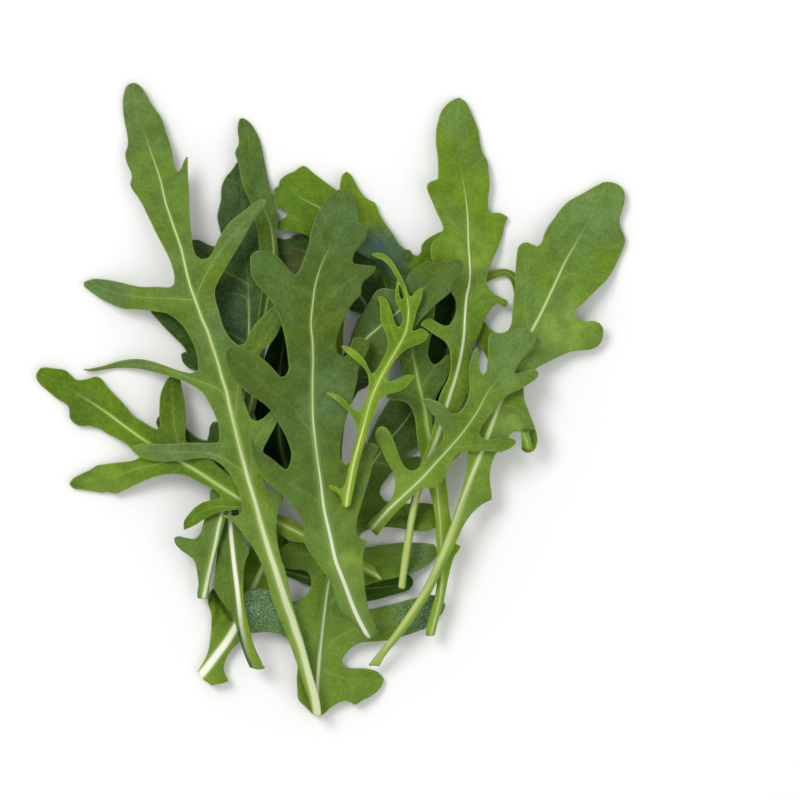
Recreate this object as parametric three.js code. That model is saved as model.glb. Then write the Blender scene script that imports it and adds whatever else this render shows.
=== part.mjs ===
// A loose bunch of arugula (wild rocket): long lobed leaves that lie in a heap on a flat surface,
// most tips to the far side and the cut stems to the near side.
// Millimetres, +Z up. The origin is the middle of the bunch's box, on the surface that it lies on.

import * as THREE from "three";

// Driving dimensions in millimetres
const LONGEST_LEAF = 132; // straight from the tip to the cut end of the large left leaf
const BLADE = 0.64; // a blade's thickness, square to its surface
const LEAF_GAP = 0.45; // upright clearance between a leaf and what it lies on
const TIP_RIB = 0.85; // thickness of a midrib at the tip
const LOBE_REACH = 13; // distance from the midrib at which a blade's cupping is stated
const OUTLINE_STEP = 3.2; // longest straight piece of an outline
const RIB_STEP = 4.5; // straight pieces of a midrib
const BLADE_MESH = 4.2; // spacing of the points inside a blade
const MARGIN_CLEAR = 1.8; // how far those points stay from a margin or a midrib
const FLAT_SPOT = 6.5; // radius of the spot where the lowest broad leaf lies flat
const CUP_LIMIT = 1.4; // in LOBE_REACH: where the cupping stops to grow
const RIPPLE_FULL = 0.625; // in LOBE_REACH: where the waves have their full height
const RIB_TAPER = 0.74; // share of the leaf's length over which the midrib thins to its tip size
const RIB_SPREAD = 0.85; // in stem thicknesses: how far off the midrib the blade is thicker

// Outlines are read in the plan picture of the bunch, in its pixels: x to the right, y down
const PICTURE_SPAN = 660; // LONGEST_LEAF in those pixels
const PICTURE_MIDDLE = [330, 399.5]; // the middle of the bunch there
const PIXEL = LONGEST_LEAF / PICTURE_SPAN;

// The settling of a leaf on the leaves below it
const SETTLE_STEPS = 420;
const THICKNESS_EVERY = 40; // steps between two updates of the upright thickness
const FIRST_PULL = 0.018; // sag a step, at the first step, in millimetres
const BEND_SHARE = 0.45; // share of a fold that one pass takes out
const SMOOTHING_PASSES = 120;
const CLOSING_PASSES = 400;
const STEEPEST_LEAN = 0.4; // rise over run of a leaf that leans on the heap
const STEEPEST_FACE = 2; // rise over run up to which the upright thickness follows a face
const LEAN_SEARCHES = 22; // thirds taken off the range of leans
const MOST_TURNS = 60; // rounds of turning a mesh's diagonals

const COLOURS = {
  mid: "#5f863a",
  fresh: "#6d9236",
  bright: "#86a62c",
  grey: "#567439",
  deep: "#3f5d28",
  shade: "#213810",
};

/* One entry a leaf, lowest first. rib, left and right run from the tip to the cut end, and left
   and right leave out the tip itself. stem is the midrib's thickness at the cut end. arch is how far
   the middle stands above the ends, lift how far the tip then rises, cup how far a blade curls up at
   LOBE_REACH from the midrib, and ripple the height of its waves, with their number. flatAt is the
   middle of a leaf's flat spot. */
const LEAVES = [
  {
    name: "leaf_low_cross",
    colour: COLOURS.shade,
    stem: 1.4, arch: 1.2, lift: 0.6, cup: 1, ripple: 0.4, waves: 3,
    rib: "413,581 401,584 385,587 366,588 345,587 325,583 306,577 288,572 272,568",
    left: "410,576 400,573 380,570 360,568 335,566 314,566 300,567 288,567 273,565",
    right: "412,585 408,590 400,593 389,596 378,599 366,601 352,600 338,597 324,592 313,586 304,583 289,577 272,572",
  },
  {
    name: "leaf_foot_left",
    colour: COLOURS.fresh,
    stem: 1.9, arch: 2, lift: 1.5, cup: 1.8, ripple: 0.6, waves: 4,
    rib: "284,521 271,550 259,575 248,600 242,615 236,626 227,641 217,654.5 209,665 200,676",
    left: `276,524 263,537 250,549 238,563 227,576 217,586 210,592 208,602 211,613 211.5,624 210.5,637
      208.5,650 204,661 197.5,671.5`,
    right: `289,532 286,545 280,560 273,574 268,588 264,602 259,614 252,626 246,635 239.5,642 233,648 228,655
      225,662 224,669 226,675 229,681 222,683 216,684 212,685.5 208,682.5 203.5,679.5`,
  },
  {
    name: "leaf_bottom_broad",
    colour: COLOURS.deep,
    stem: 2, arch: 1.6, lift: 1.2, cup: 2, ripple: 0.9, waves: 5,
    flatAt: "368,468",
    rib: `430,391 413,410 403,424 392,437 380,453 368,471 355,497 343,527 334,556 328.7,583 325,609 321,642
      318,676 317,696 317.5,716`,
    left: `425,387.5 416,386 407,387 399,390.5 392.5,396 386.5,404.5 380.5,414.5 375,425.5 369.5,438
      365,449 362,459 356,471 351,484 344,497 335,508 325,520 317,532 309,543 300,541 291,542.5
      284,545.5 279,550 276,556 279,562 284,567 291,569 300,569.5 307,571.5 311,578 311,587 308,593
      302,597.5 294,601 285,598 272,591 258,588 248,590 240,596 236,606 240,618 245,627 252,632.5
      264,631.5 273,632.5 280,634 287.5,638 293,645 296,655 298,666 297,677 297.5,688 299,699.5 305,706
      313,714`,
    right: `434,402 432,414 427,426 421,438 416,446.5 410,451 404,454.8 401.5,456 406,457 413,457
      421,456.5 429,458.5 433,465 431,473 424,478 413,480 403,477 397,471.5 392.5,471 387,478.5
      381.5,486 379.5,493 384,500 393,503 408,503.5 425,503 435,505 440,515 436,527 425,531 405,529
      388,527 374,528 362,533 357,541 366,548 381,545 402,543 420,543.5 434,545 438,552 434,559.5
      422,568 407.5,574 389,579 372,583 360,589 356,598 361,606 370,609 385,606 406,600.5 418,597.5
      430,595 440,597 445.5,605 443,612 438,618 430,626 418,631 406,635 395,638.5 386,640 372,641.5
      359,643 352,647 346,653 341.5,660 344,667 354,668.5 366,669 378,672.5 384,679 382,685 377,691
      370,696 363,699.5 358,703 354,704.5 350,701.5 345,700.5 338,702.5 331,707 326,712 321,715.5`,
  },
  {
    name: "leaf_shade_middle",
    colour: COLOURS.shade,
    stem: 1.5, arch: 3, lift: 1, cup: 1.8, ripple: 0.8, waves: 4,
    rib: "286,322 284,340 281,360 279,390 279,420 281,447 287,468 297,488 308,508 317,530 324,555 330,575",
    left: `279,328 273,338 267,352 261,370 256,388 253,403 256,418 260,430 261,444 266,458 273,469 281,480
      291,495 302,512 311,533 318,555 325,577`,
    right: `291,333 291,350 294,370 298,392 301,415 301,437 298,455 298,468 306,484 315,503 324,527 331,552
      336,572`,
  },
  {
    name: "leaf_shade_right",
    colour: COLOURS.shade,
    stem: 1.4, arch: 3, lift: 1, cup: 1.6, ripple: 0.8, waves: 3,
    rib: "458,286 455,305 451,330 447,355 444,382 443,408 443,432 441,450 438,466",
    left: `449,291 440,299 431,309 426,322 426,338 427,352 429,368 431,386 434,406 437,426 436,444 432,462`,
    right: `466,295 471,308 473,324 472,340 470,357 466,372 461,388 455,404 450,420 448,436 447,452 443,469`,
  },
  {
    name: "leaf_shade_upper",
    colour: COLOURS.deep,
    stem: 1.5, arch: 4, lift: 2, cup: 2.2, ripple: 1, waves: 4,
    rib: `270,243 280,244 292,247 306,252 322,261 338,273 352,287 363,300 371,315 374,331 371,347
      364,362 355,376 347,392 341,410 338,432 337,458 340,486 345,515 350,542`,
    left: `278,237.5 284,239 289,238.5 295,235 304,235 316,237 330,240 345,244 358,250 369,256 380,260
      391,266 399,276 401,288 398,300 393,313 388,328 383,344 377,360 372,374 367,387 359,391 352,402
      346,418 343,436 342,458 345,485 350,512 355,541`,
    right: `270,254 273,265 279,275 289,281 301,284 314,286 326,291 336,299 344,306 352,311 361,313.5
      366,320 368,331 365,343 358,355 349,366 341,378 336,392 333,410 331,432 331,457 333,487 338,517
      344,544`,
  },
  {
    name: "leaf_left_inner",
    colour: COLOURS.deep,
    stem: 2, arch: 5, lift: 2, cup: 2.2, ripple: 1.2, waves: 5,
    rib: `238,161 240,180 242,205 243,238 247,268 249,300 249,335 247,370 244,400 240,430 236,460 232,490
      230,512 231,530 233,550 235,567 239.6,598 243,615 246,628 251,648 258,669`,
    left: `232,170 226,177 222.5,184 221,192 221,200 219,208 217.5,215 218,222 220,230 221,237 218,243
      214,247 207,244 200,240.5 193,240 186,244 182,253 186,263 194,272 202,280 205,288 198,294 184,299
      168,303 156,307 150.5,311.5 157,319 165,328 175,338 187,352 181,354 183,362 189,368 198,371.5
      206,374 214,380 220,389 222,400 221,413 218,421.5 213,422 210,427 209,434 207,441 199,439
      192,434 185,427.5 176,422 166,417 158.5,416.5 156.5,422 160,431 170,441 183,449 198,455 213,461
      221,472 224,486 224,503 222,520 219.5,538 217,555 215.5,572 214.5,587 219,596 226,605 232,612
      236,624 240,640 245,655 250,667`,
    right: `244,170 249,186 254,203 258,222 261,242 262,262 262,280 265,292 267,302 266,312 262,319
      257,325 254,335 253,350 253,370 252,390 249,410 246,430 243,450 241,470 239,490 238,508
      240,525 244,540 249,549 246,559 244,568 243.5,580 244,595 246,610 249,625 252,640 257,654 265,668`,
  },
  {
    name: "leaf_hooked",
    colour: COLOURS.fresh,
    stem: 1.4, arch: 3.5, lift: 1.5, cup: 1.2, ripple: 0.6, waves: 3,
    rib: `477,281 488,277 497,273.5 505,272 513,277 518,287 519.5,302 518,320 512,337 504,351 497,366
      489,388 480,410 468,430 455,448 442,464`,
    left: `481,286 490,280.5 496,278 501,276 505,275 509,278 512,284 514,295 514,308 512,320 509,329
      505,332 498,333 492,330.5 484,321.5 478,324 475,332 477,340 482,349 487,358 490,366 487,377
      482,388 474,405 463,424 450,443 438,460`,
    right: `480,277 486,273.5 493,270.5 500,269 508,269.5 515,273 521,281 524.5,292 526,308 524,325
      518,342 511,356 504,370 496,391 486,414 473,435 460,453 446,468`,
  },
  {
    name: "leaf_upper_narrow",
    colour: COLOURS.grey,
    stem: 1.9, arch: 6, lift: 3, cup: 2, ripple: 0.9, waves: 4,
    rib: `243,118 247,133 249,150 251,165 254,178 258,192 262,205 266,213 270,223 272,232 273.5,245 274,256
      272,275 268,300 264,322 260,345 257,370 254,390 251,405 247,420 242,440 237,460 231,480 226,498
      222,515 219,527 216.5,540 213.5,553 210.5,567 207,583 203.5,599`,
    left: `240,119 238.5,124 238,131 239,138 239,145 236.5,150 236,154 238,160 240,168 241,176 243,184
      246,192 249,198 252,206 255,219 258,233 259.5,245 260,256 262,270 262,290 260,310 257,330 254,350
      252,370 249,388 246,402 241,420 235,438 229,455 224,470 219,481 213,487 210.5,492 210,500
      207,509 205,518 203,526 200,534 195,538.5 190,538.5 184,537 178,536 174.5,538 175.5,543 181,549.5
      188,554.5 194,559.5 196.5,566 198,576 198.7,585 197.5,592 197.5,598`,
    right: `248,121 251,124 255,130 259,138 262,148 264,158 266,168 268,178 270,187 272,194 273.5,200
      275,207 278,214 279,220 277,229 277,240 279,252 280,265 279,280 275,300 271,320 267,340 264,360
      261,380 258,398 255,412 251,428 246,446 241,465 236,485 231,503 226.5,519 222,534 218,549
      214.5,562 211.5,575 209.5,588 209,599`,
  },
  {
    name: "leaf_top_round",
    colour: COLOURS.fresh,
    stem: 1.5, arch: 5, lift: 3, cup: 2, ripple: 1, waves: 3,
    rib: `274,192 286,188 300,197 310,203 321,209 329,222 334,240 336,265 336,290 335,320 334,350 333,380
      332,410 332,436`,
    left: `274,200 276,207 280,209 284,209.5 287.5,212 286.5,216 283,219 279.5,220.5 278,226 278,230
      284,231 291,231 297,232 303,234 310,237.5 317,246 321,262 323,280 324,300 325,325 326,350
      327,380 327,410 327,435`,
    right: `275,188.5 278.5,186 280,180.5 284,176.5 289,173.5 295,171 299,168 303.5,166 307,167.5 312,172
      320,178 328,184 336,190 343,197 349,208 352,222 352,240 350,258 348,278 346,300 344,325 342,350
      340,380 338,410 337,437`,
  },
  {
    name: "leaf_inner_folded",
    colour: COLOURS.fresh,
    stem: 1.9, arch: 6.5, lift: 2, cup: 2.6, ripple: 1.2, waves: 5,
    rib: `347,171.5 353,190 361,208 372,226 385,243 396,259 404,277 409,300 411,325 412,352 416,370 419,385
      422,397 425,410 427,425 430,441 433,460 436,480 438.5,500 440.5,520 441.5,543 442,570 440.5,593
      436.5,612 430.5,636`,
    left: `343,174.5 341,181 340,189 341,199 345,211 349,224 351,238 353,250 360,254 368,258 376,262
      381,270 384,282 388,294 391,308 393,325 395,342 399,357 401,366 402,374 400.5,381 395,386.5
      389,391.5 385.5,397 391,399.3 399,400.3 406,402.5 410.5,407 413.5,413 415.5,421 416.5,432 418,445
      421,459 425,474 429,489 433,503 435,517 436,532 436.5,547 437,563 437,580 434.5,597 430.5,612
      427,624 425.5,635`,
    right: `351,175 354,180 358,188 364,196 370,200.5 374,202 376.5,206 379,213 385,223 393,234 400,245
      405,249 410,250 413,254.5 418,256 421,252 422,245 426,240 432,236 438,233 444,231 452,233
      458,242 459,254 455,267 448,279 441,291 436,304 434,318 432,332 429,344 428,354 431,362 435,365
      440,362 446,356 450.5,354 451,363 449,373 445,382 440,390 436,398 433,408 432,420 434,433
      438,447 442,461 445,475 447,489 448,500 449,511 451,521 453,533 456,544 460.5,546 458.5,550
      454,557 451,566 448.5,577 446,589 443.5,602 440,614 437,625 434.5,635`,
  },
  {
    name: "leaf_left_low",
    colour: COLOURS.fresh,
    stem: 1.6, arch: 5, lift: 1.5, cup: -1.2, ripple: 1, waves: 4,
    rib: `37,373 58,381 83,397 106,412 126,427 149,443 163,451 179,460 199,472 219,485 241,499 260,511
      280,523 302,534 322,544 342,555 360,565 372,572 382,578.5`,
    left: `40.5,368 46,367.5 53,368.5 66,370.5 71,375 76,379.5 82,380 89,378.5 96,376.5 101,378.5 106,385
      113,393 120,400 127,408 134,416 142,421 150,426 157,429.5 160,426 159.5,415 160,403 161,394
      164,385.5 168,378.5 172,376 177,377 180.5,380 182,387 184,396 185.5,406 186,416 185.5,428
      186,440 192,448 204,456 216,464 228,474 240,485 252,494 266,505 280,514.5 294,521 304,527
      324,538 344,549 361,558.5 372,565 378,572`,
    right: `36.5,378 40,384 48,391 57,398.5 68,405.5 69.5,412 70,418 74,423 80,426 90,426 100,429 108,434
      118,439 128,445 134,451.5 141,456 138,458.5 130,461 118,462.5 106,464 97,465.5 90,470 80,475
      73,479 69.5,484 73,488 82,489.5 93,491 101,492.5 108,492 116,493.5 122,491 131,486.5 141,482
      152,477.5 163,474.5 174,473.5 186,475.5 197,480.5 208,486 218,492 222,497.5 214,499.5 205,501.5
      197,506 190,513 184.5,521 184,530 190,527.5 197,524 204,519.5 212,515 220,512 230,510 242,510
      252,514 262,519 272,526 281,534 290,540 303,542.5 320,549 338,559 354,567 366,573.5 380,580.5`,
  },
  {
    name: "leaf_right_tall",
    colour: COLOURS.mid,
    stem: 1.5, arch: 9, lift: 3.5, cup: 2, ripple: 1, waves: 5,
    rib: `459,98 457,115 458,140 460,160 462,175 464,187 466,200 467.5,215 468,230 468.5,247 469.5,260
      470,273 469,285 466.5,297 465,315 464,335 462,350 459,365 455,380 451,392 446,408 441,426
      435,443 428,460 421,478 415.5,498 411,520 407.5,545 404,568 401.5,588.5`,
    left: `454,99.5 449,102.5 445,106.5 441,113 438.5,121 436.5,129 436,138 436.5,146 438,154 438.5,164
      438.5,174 438.5,179 434,181 429.5,183 427.5,187.5 430,196 434,205 438,214 442,222 443.5,229
      439,236 433,242 431,250 432.5,261 437,272 443,282 450,291 455,299 456,307 454.5,317 450,325
      445,326 438,323 430,318.5 424,320.5 421,325 429,330.5 437,336 445,341.5 449.5,349 451,358 451,368
      448.5,378 444,387 440,396 437.5,408 435,421 431,436 426,450 420,465 415.5,481 411,500 407.3,522
      403.5,545 400.3,567 398,587`,
    right: `464,100.5 467.5,105 470.5,111 473.5,118 476,124 478.5,131 479.5,139 481,147 483,153.5
      486,158.5 488,164 488.7,173 489.5,183 489,191 488,201 488.5,210 492,213.5 498,213 503,214.5
      508,217.5 505,224 503,233 500,242 497,250 493,259 489.5,268 487,275 487,284 490,290 495,294.5
      501,297.5 507,300.5 508,304.5 504.5,307.5 500.5,305 497,303 492,307.5 487.5,314 484,321.5
      480.5,331 476.5,341 472,350 469.5,360 468.5,370 469,381 468.5,391 464,402 457,414 450,426
      444,437 438.5,449 431.5,465 425,481 419.5,500 415,522 411.5,545 408,568 405,589`,
  },
  {
    name: "leaf_right_broad",
    colour: COLOURS.mid,
    stem: 2, arch: 9, lift: 3, cup: -1.4, ripple: 1.1, waves: 4,
    rib: `606,182 597,204 588,222 582,232 575,245 566,260 558,277 550,294 541,313 531,332 524,346 516,364
      508,382 500,402 493,421 486,440 478,460 470,480 462,502 454,526 447,543 439,561 427,586 417,602
      406,618 389,641 374,665.5`,
    left: `600,184 594,187 587,191 580,195 573,198.5 566,203.5 560,210 555,217 549,225 544,235 541,243.5
      537,246.5 532,244.5 527,242.5 522,243.5 518.5,247 517,253 516,262 515,275 514.5,290 513,301
      512,313 511,328 509,342 504,357 498,373 491,391 484,408 477,425 471,441 467.5,455 466.5,468
      463.5,482 460,495 456.5,506 452,519 447,532 441,547 435,562 428,578 420,593 410.5,608 401,622
      392,634.5 383,646 375,656 368,665.5`,
    right: `612,182.5 618,184.5 622.5,188.5 624.5,194 624,203 621.5,212 619.5,220 621,228.5 624,235
      625,241 622.5,250 618,260 613,270 607,279 599,287 591,295 583,303 575,310 574,315 578,319.5
      585,321.5 594,321.5 600,324 603,329.5 602,339 598,346 590,349.5 580,350.5 570,352 561,355.5
      552,360 543,364.5 535,369 528,376 524,384 523.5,392 524.5,401 528,410 531.5,419 534.5,428
      537,438 535.5,446 531,452 525.5,452.5 521.5,450 521.5,440 520.5,431.5 514,431.5 509.5,435
      506,442 500,449 495,455 491.5,463 489.7,473 490,484 491.5,493 491.5,499.5 486,502 479.5,506
      473,512 467,519.5 462,528 458,537 453,548 448,559 441.5,572 435,585.5 428,598 419.5,611
      410,625 400,637.5 391,648 384,657.5 379.5,666`,
  },
  {
    name: "leaf_cross_blade",
    colour: COLOURS.grey,
    stem: 1.3, arch: 4, lift: 2, cup: 1.5, ripple: 0.7, waves: 3,
    rib: `463,262 440,275 425,287 399,311 382,325 366,339 353,354 343,370 334,390 328,412 325,440 325,470
      327,500 331,530 337,556 342,576`,
    left: `456,259 445,261 434,263 427,261.5 420,265.5 414,270 408,276 404,284 400,289 393,290 385,288.5
      378,290 373,296 369,303 365.5,309 362,314 358,319.5 355,326 352,333 350,341 347,349 341,359
      334,372 327,390 322,412 320,440 320,471 322,502 326,531 332,557 338,577`,
    right: `463,268 459,274 455,280 451,287 449,293 442,299 434,306 427,313 420,320 414,329 410,338
      404,348 397,357 388,366 379,373 370,377 362,378 354,380 347,386 340,398 335,415 331,440 330,470
      332,500 336,529 341,553 346,574`,
  },
  {
    name: "leaf_diagonal",
    colour: COLOURS.mid,
    stem: 2, arch: 7, lift: 2, cup: 2, ripple: 1, waves: 4,
    rib: `529.5,330.5 520,345 510,360 499,376 487,393 478,410 466,428 452,445 436.5,462 421,479 405,494
      389,509 370.5,530`,
    left: `521,328.5 513,329 506,332 498,333.5 492,332 489,337 488,346 487.5,356 487,365 485.5,372.5
      482.5,375 479.7,371 478.8,363 479,354 477.5,347.5 474,351 471,359 468.8,368 469,379 469.5,390
      467.5,400 463,408 457,414 451,413 446.5,408 441,404 434,401 427,399 421.5,400 426,405.5 431,412.5
      437.5,421 442.5,430 443,438 438.5,446 433,452 427,458 421.5,464 417.5,468.5 411,470.5 405,467.5
      401,461 398,453 395,444.5 391.5,436 387.5,429.5 383,427 378.5,428 375.5,433 376,440 380,448
      384,456 388.5,464 393,471.5 395,480 394.5,490 391.5,498 386,505 379,512 371.5,519 365,526`,
    right: `536.5,337.5 534,345 528,352.5 521,360.5 516,367.5 513.5,373.5 519,373 526,370.5 534,369
      538,372 537.5,376.5 533,381 526,385.5 520,389 513,392 506,396 501,401 497.5,406.5 492,413
      486,419.5 481,427 478.5,434 483,438.5 491,439.5 499,438 506,437.5 512,438.5 516.5,441.5
      512.5,446 507,449 500,451.5 491,451 482,450.5 473,451.5 464.5,450.5 457,454.5 451.5,462
      447.5,470 444,478 439.5,484.5 432.5,487.5 425,488 418,490.5 411.5,497 404,504.5 396,512.5
      388.5,521 382,529 377,536`,
  },
  {
    name: "leaf_left_large",
    colour: COLOURS.mid,
    stem: 2.3, arch: 12, lift: 4, cup: -1.8, ripple: 1.2, waves: 5,
    rib: `133,83 136,110 141,125 147,140 151,152 155,163 160,178 163,190 166,203 170,215 173,224 178,238
      182,250 185,263 188,276 191,287 195,298 199,309 203,320 208,331 212,343 216,355 220,368 223,379
      227,391 230,405 234,421 238,437 242,453 246,468 249,480 253,493 257,507 261,522 265.5,537
      270,552 275,567 279,580 283,592 287,604 292,617 296,630 301,644 305,658 309.5,674 313,687
      316,699 318,716`,
    left: `127.5,85.5 124.5,91.5 123,100 123,109 124.5,121 127,133 128,145 125.5,154 127,163 131,172
      132,178 130.5,184 132.5,189.5 138,197 142.5,204.5 147,214 151.5,223 156.5,233.5 162.5,244.5
      168.5,256 172.5,266 175,277 174.5,285 170,287.5 157,287 142,287 130,285 118,282 105,279.5
      93,279 84,282 84,286.5 92,292.5 102,299.5 112,304.5 123,308.5 135,309.5 147,310.5 158,312
      167,313.5 176,319 184,327 190,336.5 195,347 198,358.5 199,370 192,373 183,371.5 174,369
      164,365.5 152,361.5 141,359.5 130,360 118,362 105,365.5 92,368.5 82,370 93,371.5 105,369.5
      117,368 128,368 140,369 152,371.5 164,374.5 175,378 186,382 196,387.5 204,393.5 209.5,402.5
      214.5,412.5 218.5,423 220,433 219.5,442.5 208,443 194,443 178,443.5 162,444 148,443.5 137,444.5
      131,448 136,453.5 143,458 153,460.5 165,461.5 178,460.5 192,459 205,458 214,459.5 222,464.5
      229,472 235,482 239.5,493 242.5,504 242,513 236,515.5 228,514.5 219.5,515 227,517.5 234,522.5
      241,530 248,539 254,548 259.5,558.5 264,569 267.5,581 270.5,594 275,607 281,621 286,633
      291,646 296,660 300,672 304,685 308.5,698 313.5,714.5`,
    right: `138,84.5 142,88.5 146,94 150,101.5 155,109 160,116 163.5,124 166.5,133 169.5,142 172,151
      173.5,161 175.5,169 178.5,172 181.5,169 184,162 187.5,156 187.5,166 188,178 189,190 189,205
      190,220 191.5,233 193,245 196,254.5 201.5,259.5 208,258.5 213,253 217,243 223,232.5 231,222
      240,215 248,208.5 256,202.5 262,200 267.5,200.5 264.5,207 259,214 252,224 245,237 238,249
      230,262 224,272 219,281 215.5,290 216,300 219,311 222,322 226,331.5 232,340 239,346 245,344
      249,335.5 254,327 260,320 267,313 274,306.5 282,300.5 288,299.5 288,308 284,320 279,332
      273,341.5 265,348.5 257,356 249.5,364 244.5,374 242.5,386 244,397 247.5,409 252,418.5 258,421
      264.5,417.5 271,411.5 277,408.5 281,413 278,421 273.5,430 268.5,439 264,448 262,459 262,470
      264,481 268.5,490.5 275,492 281,491 284.5,495 281.5,502 279,509.5 277.3,520 277,533 278.5,545
      281,556 285,568 288.5,581 291,594 294.5,608 298.5,622 303,637 307,652 311,668 315,682 318.5,694
      320.5,704 321.5,714.5`,
  },
  {
    name: "leaf_centre_large",
    colour: COLOURS.grey,
    stem: 2.2, arch: 10, lift: 3, cup: 2.2, ripple: 1.3, waves: 4,
    rib: `343,189.5 338,215 331,240 329,250 325,258 321,267 318,277 315,289 313.5,301 312,315 311.5,326
      313,342 313.5,360 313,380 313,400 313.5,420 315.4,439 318,460 321,481 324.6,509 330.4,534.6
      336,559.5 341,573 346,586 351,600 356,612.5 363,627 369,638`,
    left: `338.5,190 333,193.5 327,199 322.5,206 318,214 314.5,223 311.5,233 310,242 307.5,251.5
      304,261 300.5,270.5 295.5,276 290.5,271.5 285,264.5 279,258 272,253.5 264,251.5 256.5,252
      251.5,257.5 251.5,266 253,277 259,286.5 266,293.5 272,301 277,310.5 281.5,321.5 285,333
      287.5,345 289,358 290,369.5 286.5,376.5 281.5,377.5 276,371 270,364.5 263,358.5 255,353.5
      246,349.5 237,347 230,347.5 227,353 228,364 232,375 240,384.5 249,392.5 258,399 267,405.5
      274,413 279.5,423 285,432.5 289.5,442.5 292.5,453.5 291,463 287.5,470 281.5,465.5 273,458.5
      264,452 257.5,445 251,438 251.5,447 253.5,457 258,467.5 265,477 274,485.5 283,493 290.5,501.5
      297,510 302.5,517.5 305,525 304.5,537 308,547 314,556 320.5,566 327,575.5 332.5,584 336,593
      338.5,603 342.5,611 350,618 358,625 364,634`,
    right: `348,190 352,193 355,200 357,210 358.5,220 362,225 368,230 367,236 362.5,243 357,249.5
      353.5,257 353,263.5 361,265 370,266 376.5,267 374.5,272 370,276.5 364.5,281 361.5,287 361.5,294
      357,299 352,305 347.5,312 343.5,320 340,329 337,338 336.5,347 339,354 344,357.5 348.5,354 351,346
      353,339 357.5,337.5 363,338 368,341 369,347 366.5,353 363.5,359 360,366 358,373 357.5,380
      355.5,388 352,401 348.5,412 345,423 342.5,433.5 341,443.5 340.5,453 342.5,461 346.5,465 350.5,461
      355,453.5 360,447 366.5,443.5 374,443.5 379,447 376,453 372,461 371,471 368,482 364.5,494
      360.5,507 357.5,518 356.5,527 359,536 367.5,540.5 365.5,545 363.7,553 363.5,565 364.5,579 366,594
      369,609 373.5,620 378,632`,
  },
  {
    name: "leaf_small_bright",
    colour: COLOURS.bright,
    stem: 1.9, arch: 7, lift: 3, cup: 1.5, ripple: 0.7, waves: 4,
    rib: `370.5,254.5 384,258 390.5,263 396.5,271 401.6,281 405,290 407.5,300 408.5,312 407.5,325
      405,334 401.6,341 396,351 390,361 385,370 380,379 375.5,389 371,400 367,414 362.5,431 358.5,445
      355,458 352,471 350,483 348,494 346.5,507`,
    left: `376,257.5 382.5,260.5 388,265 392.5,271 396.5,278 400,285.5 402.5,292 404,298 401.5,300.5
      399.3,295 398.5,288 397,281 395.7,288 395,296 396,303 399.5,309 402.5,315 402.5,322 398.5,328.5
      395,323 392.5,315 389.5,306 386,299.5 381,296.5 377.5,297 380,304 380.5,314 381.5,323 385,331.5
      388,341 387,351 382.5,360.5 377,369 372.5,374.5 369.5,370 366,362.5 361,355.5 354.5,350
      347.5,346.5 341,346 346.5,352.5 354,359 361,365 366.5,371.5 369,380 368.5,390 365.5,400
      361,409.5 355.5,410.5 350,405.5 345,400 339.5,396 333,393 326,392 331.5,396.5 338,401.5
      344,407 350.5,413 355,421 357.5,430 356,441 352.5,453 349.5,464 347,474 344.5,484 341,488.5
      336,486 328,484 331.5,488.5 337,492 340.5,496 342,505`,
    right: `377,253 384,254.5 389.5,258.5 394.5,264.5 398.5,271.5 402.5,279 405.5,286 408,293 410.5,298.5
      414.5,293.5 418.5,289.5 422.5,288 422.5,294 420.5,302 417,310.5 414.5,321 411.5,331.5
      416.5,330.5 421,328.5 425.5,331 429.5,335 426.5,339.5 420.5,343.5 412.5,346.5 405.5,350
      399,356 393.5,363 389,371 386.5,380 391,382 398,378.5 406.5,375 415.5,375 412,380 407,386
      400.5,390.5 392.5,393 385,395 379.5,400 376.5,408 373,418 369.5,428 366,439 362.5,451
      359,464 356.5,475 354.5,486 352.5,496 350.5,505`,
  },
];

// "x,y x,y ..." in picture pixels as plan points in millimetres, y up
function planPoints(text) {
  return text.trim().split(/\s+/).map((pair) => {
    const [x, y] = pair.split(",").map(Number);
    return new THREE.Vector2((x - PICTURE_MIDDLE[0]) * PIXEL, (PICTURE_MIDDLE[1] - y) * PIXEL);
  });
}

// A smooth curve through the points, cut so that no straight piece is longer than step.
function smoothLine(points, step) {
  const knots = points.map((p) => new THREE.Vector3(p.x, p.y, 0));
  const curve = new THREE.CatmullRomCurve3(knots, false, "centripetal");
  const line = [points[0]];
  for (let i = 1; i < points.length; i++) {
    const pieces = Math.max(1, Math.ceil(points[i].distanceTo(points[i - 1]) / step));
    for (let k = 1; k <= pieces; k++) {
      const p = curve.getPoint((i - 1 + k / pieces) / (points.length - 1));
      line.push(new THREE.Vector2(p.x, p.y));
    }
  }
  return line;
}

function cross(a, b, c) {
  return (b.x - a.x) * (c.y - a.y) - (b.y - a.y) * (c.x - a.x);
}

function segmentDistance(p, a, b) {
  const run = b.clone().sub(a);
  const along = THREE.MathUtils.clamp(p.clone().sub(a).dot(run) / run.lengthSq(), 0, 1);
  return { along, distance: p.distanceTo(a.clone().addScaledVector(run, along)) };
}

function edgeKey(a, b) {
  return a < b ? `${a}_${b}` : `${b}_${a}`;
}

// Every edge of a triangle list, with the corner opposite it in each triangle that has it
function edgeTable(triangles) {
  const table = new Map();
  triangles.forEach((t, index) => {
    for (let k = 0; k < 3; k++) {
      const key = edgeKey(t[k], t[(k + 1) % 3]);
      if (!table.has(key)) table.set(key, []);
      table.get(key).push({ index, from: t[k], to: t[(k + 1) % 3], opposite: t[(k + 2) % 3] });
    }
  });
  return table;
}

function insideCircle(a, b, c, d) {
  const rows = [a, b, c].map((p) => [p.x - d.x, p.y - d.y]);
  const squares = rows.map(([x, y]) => x * x + y * y);
  return (
    rows[0][0] * (rows[1][1] * squares[2] - rows[2][1] * squares[1]) -
    rows[0][1] * (rows[1][0] * squares[2] - rows[2][0] * squares[1]) +
    squares[0] * (rows[1][0] * rows[2][1] - rows[2][0] * rows[1][1])
  );
}

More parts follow.
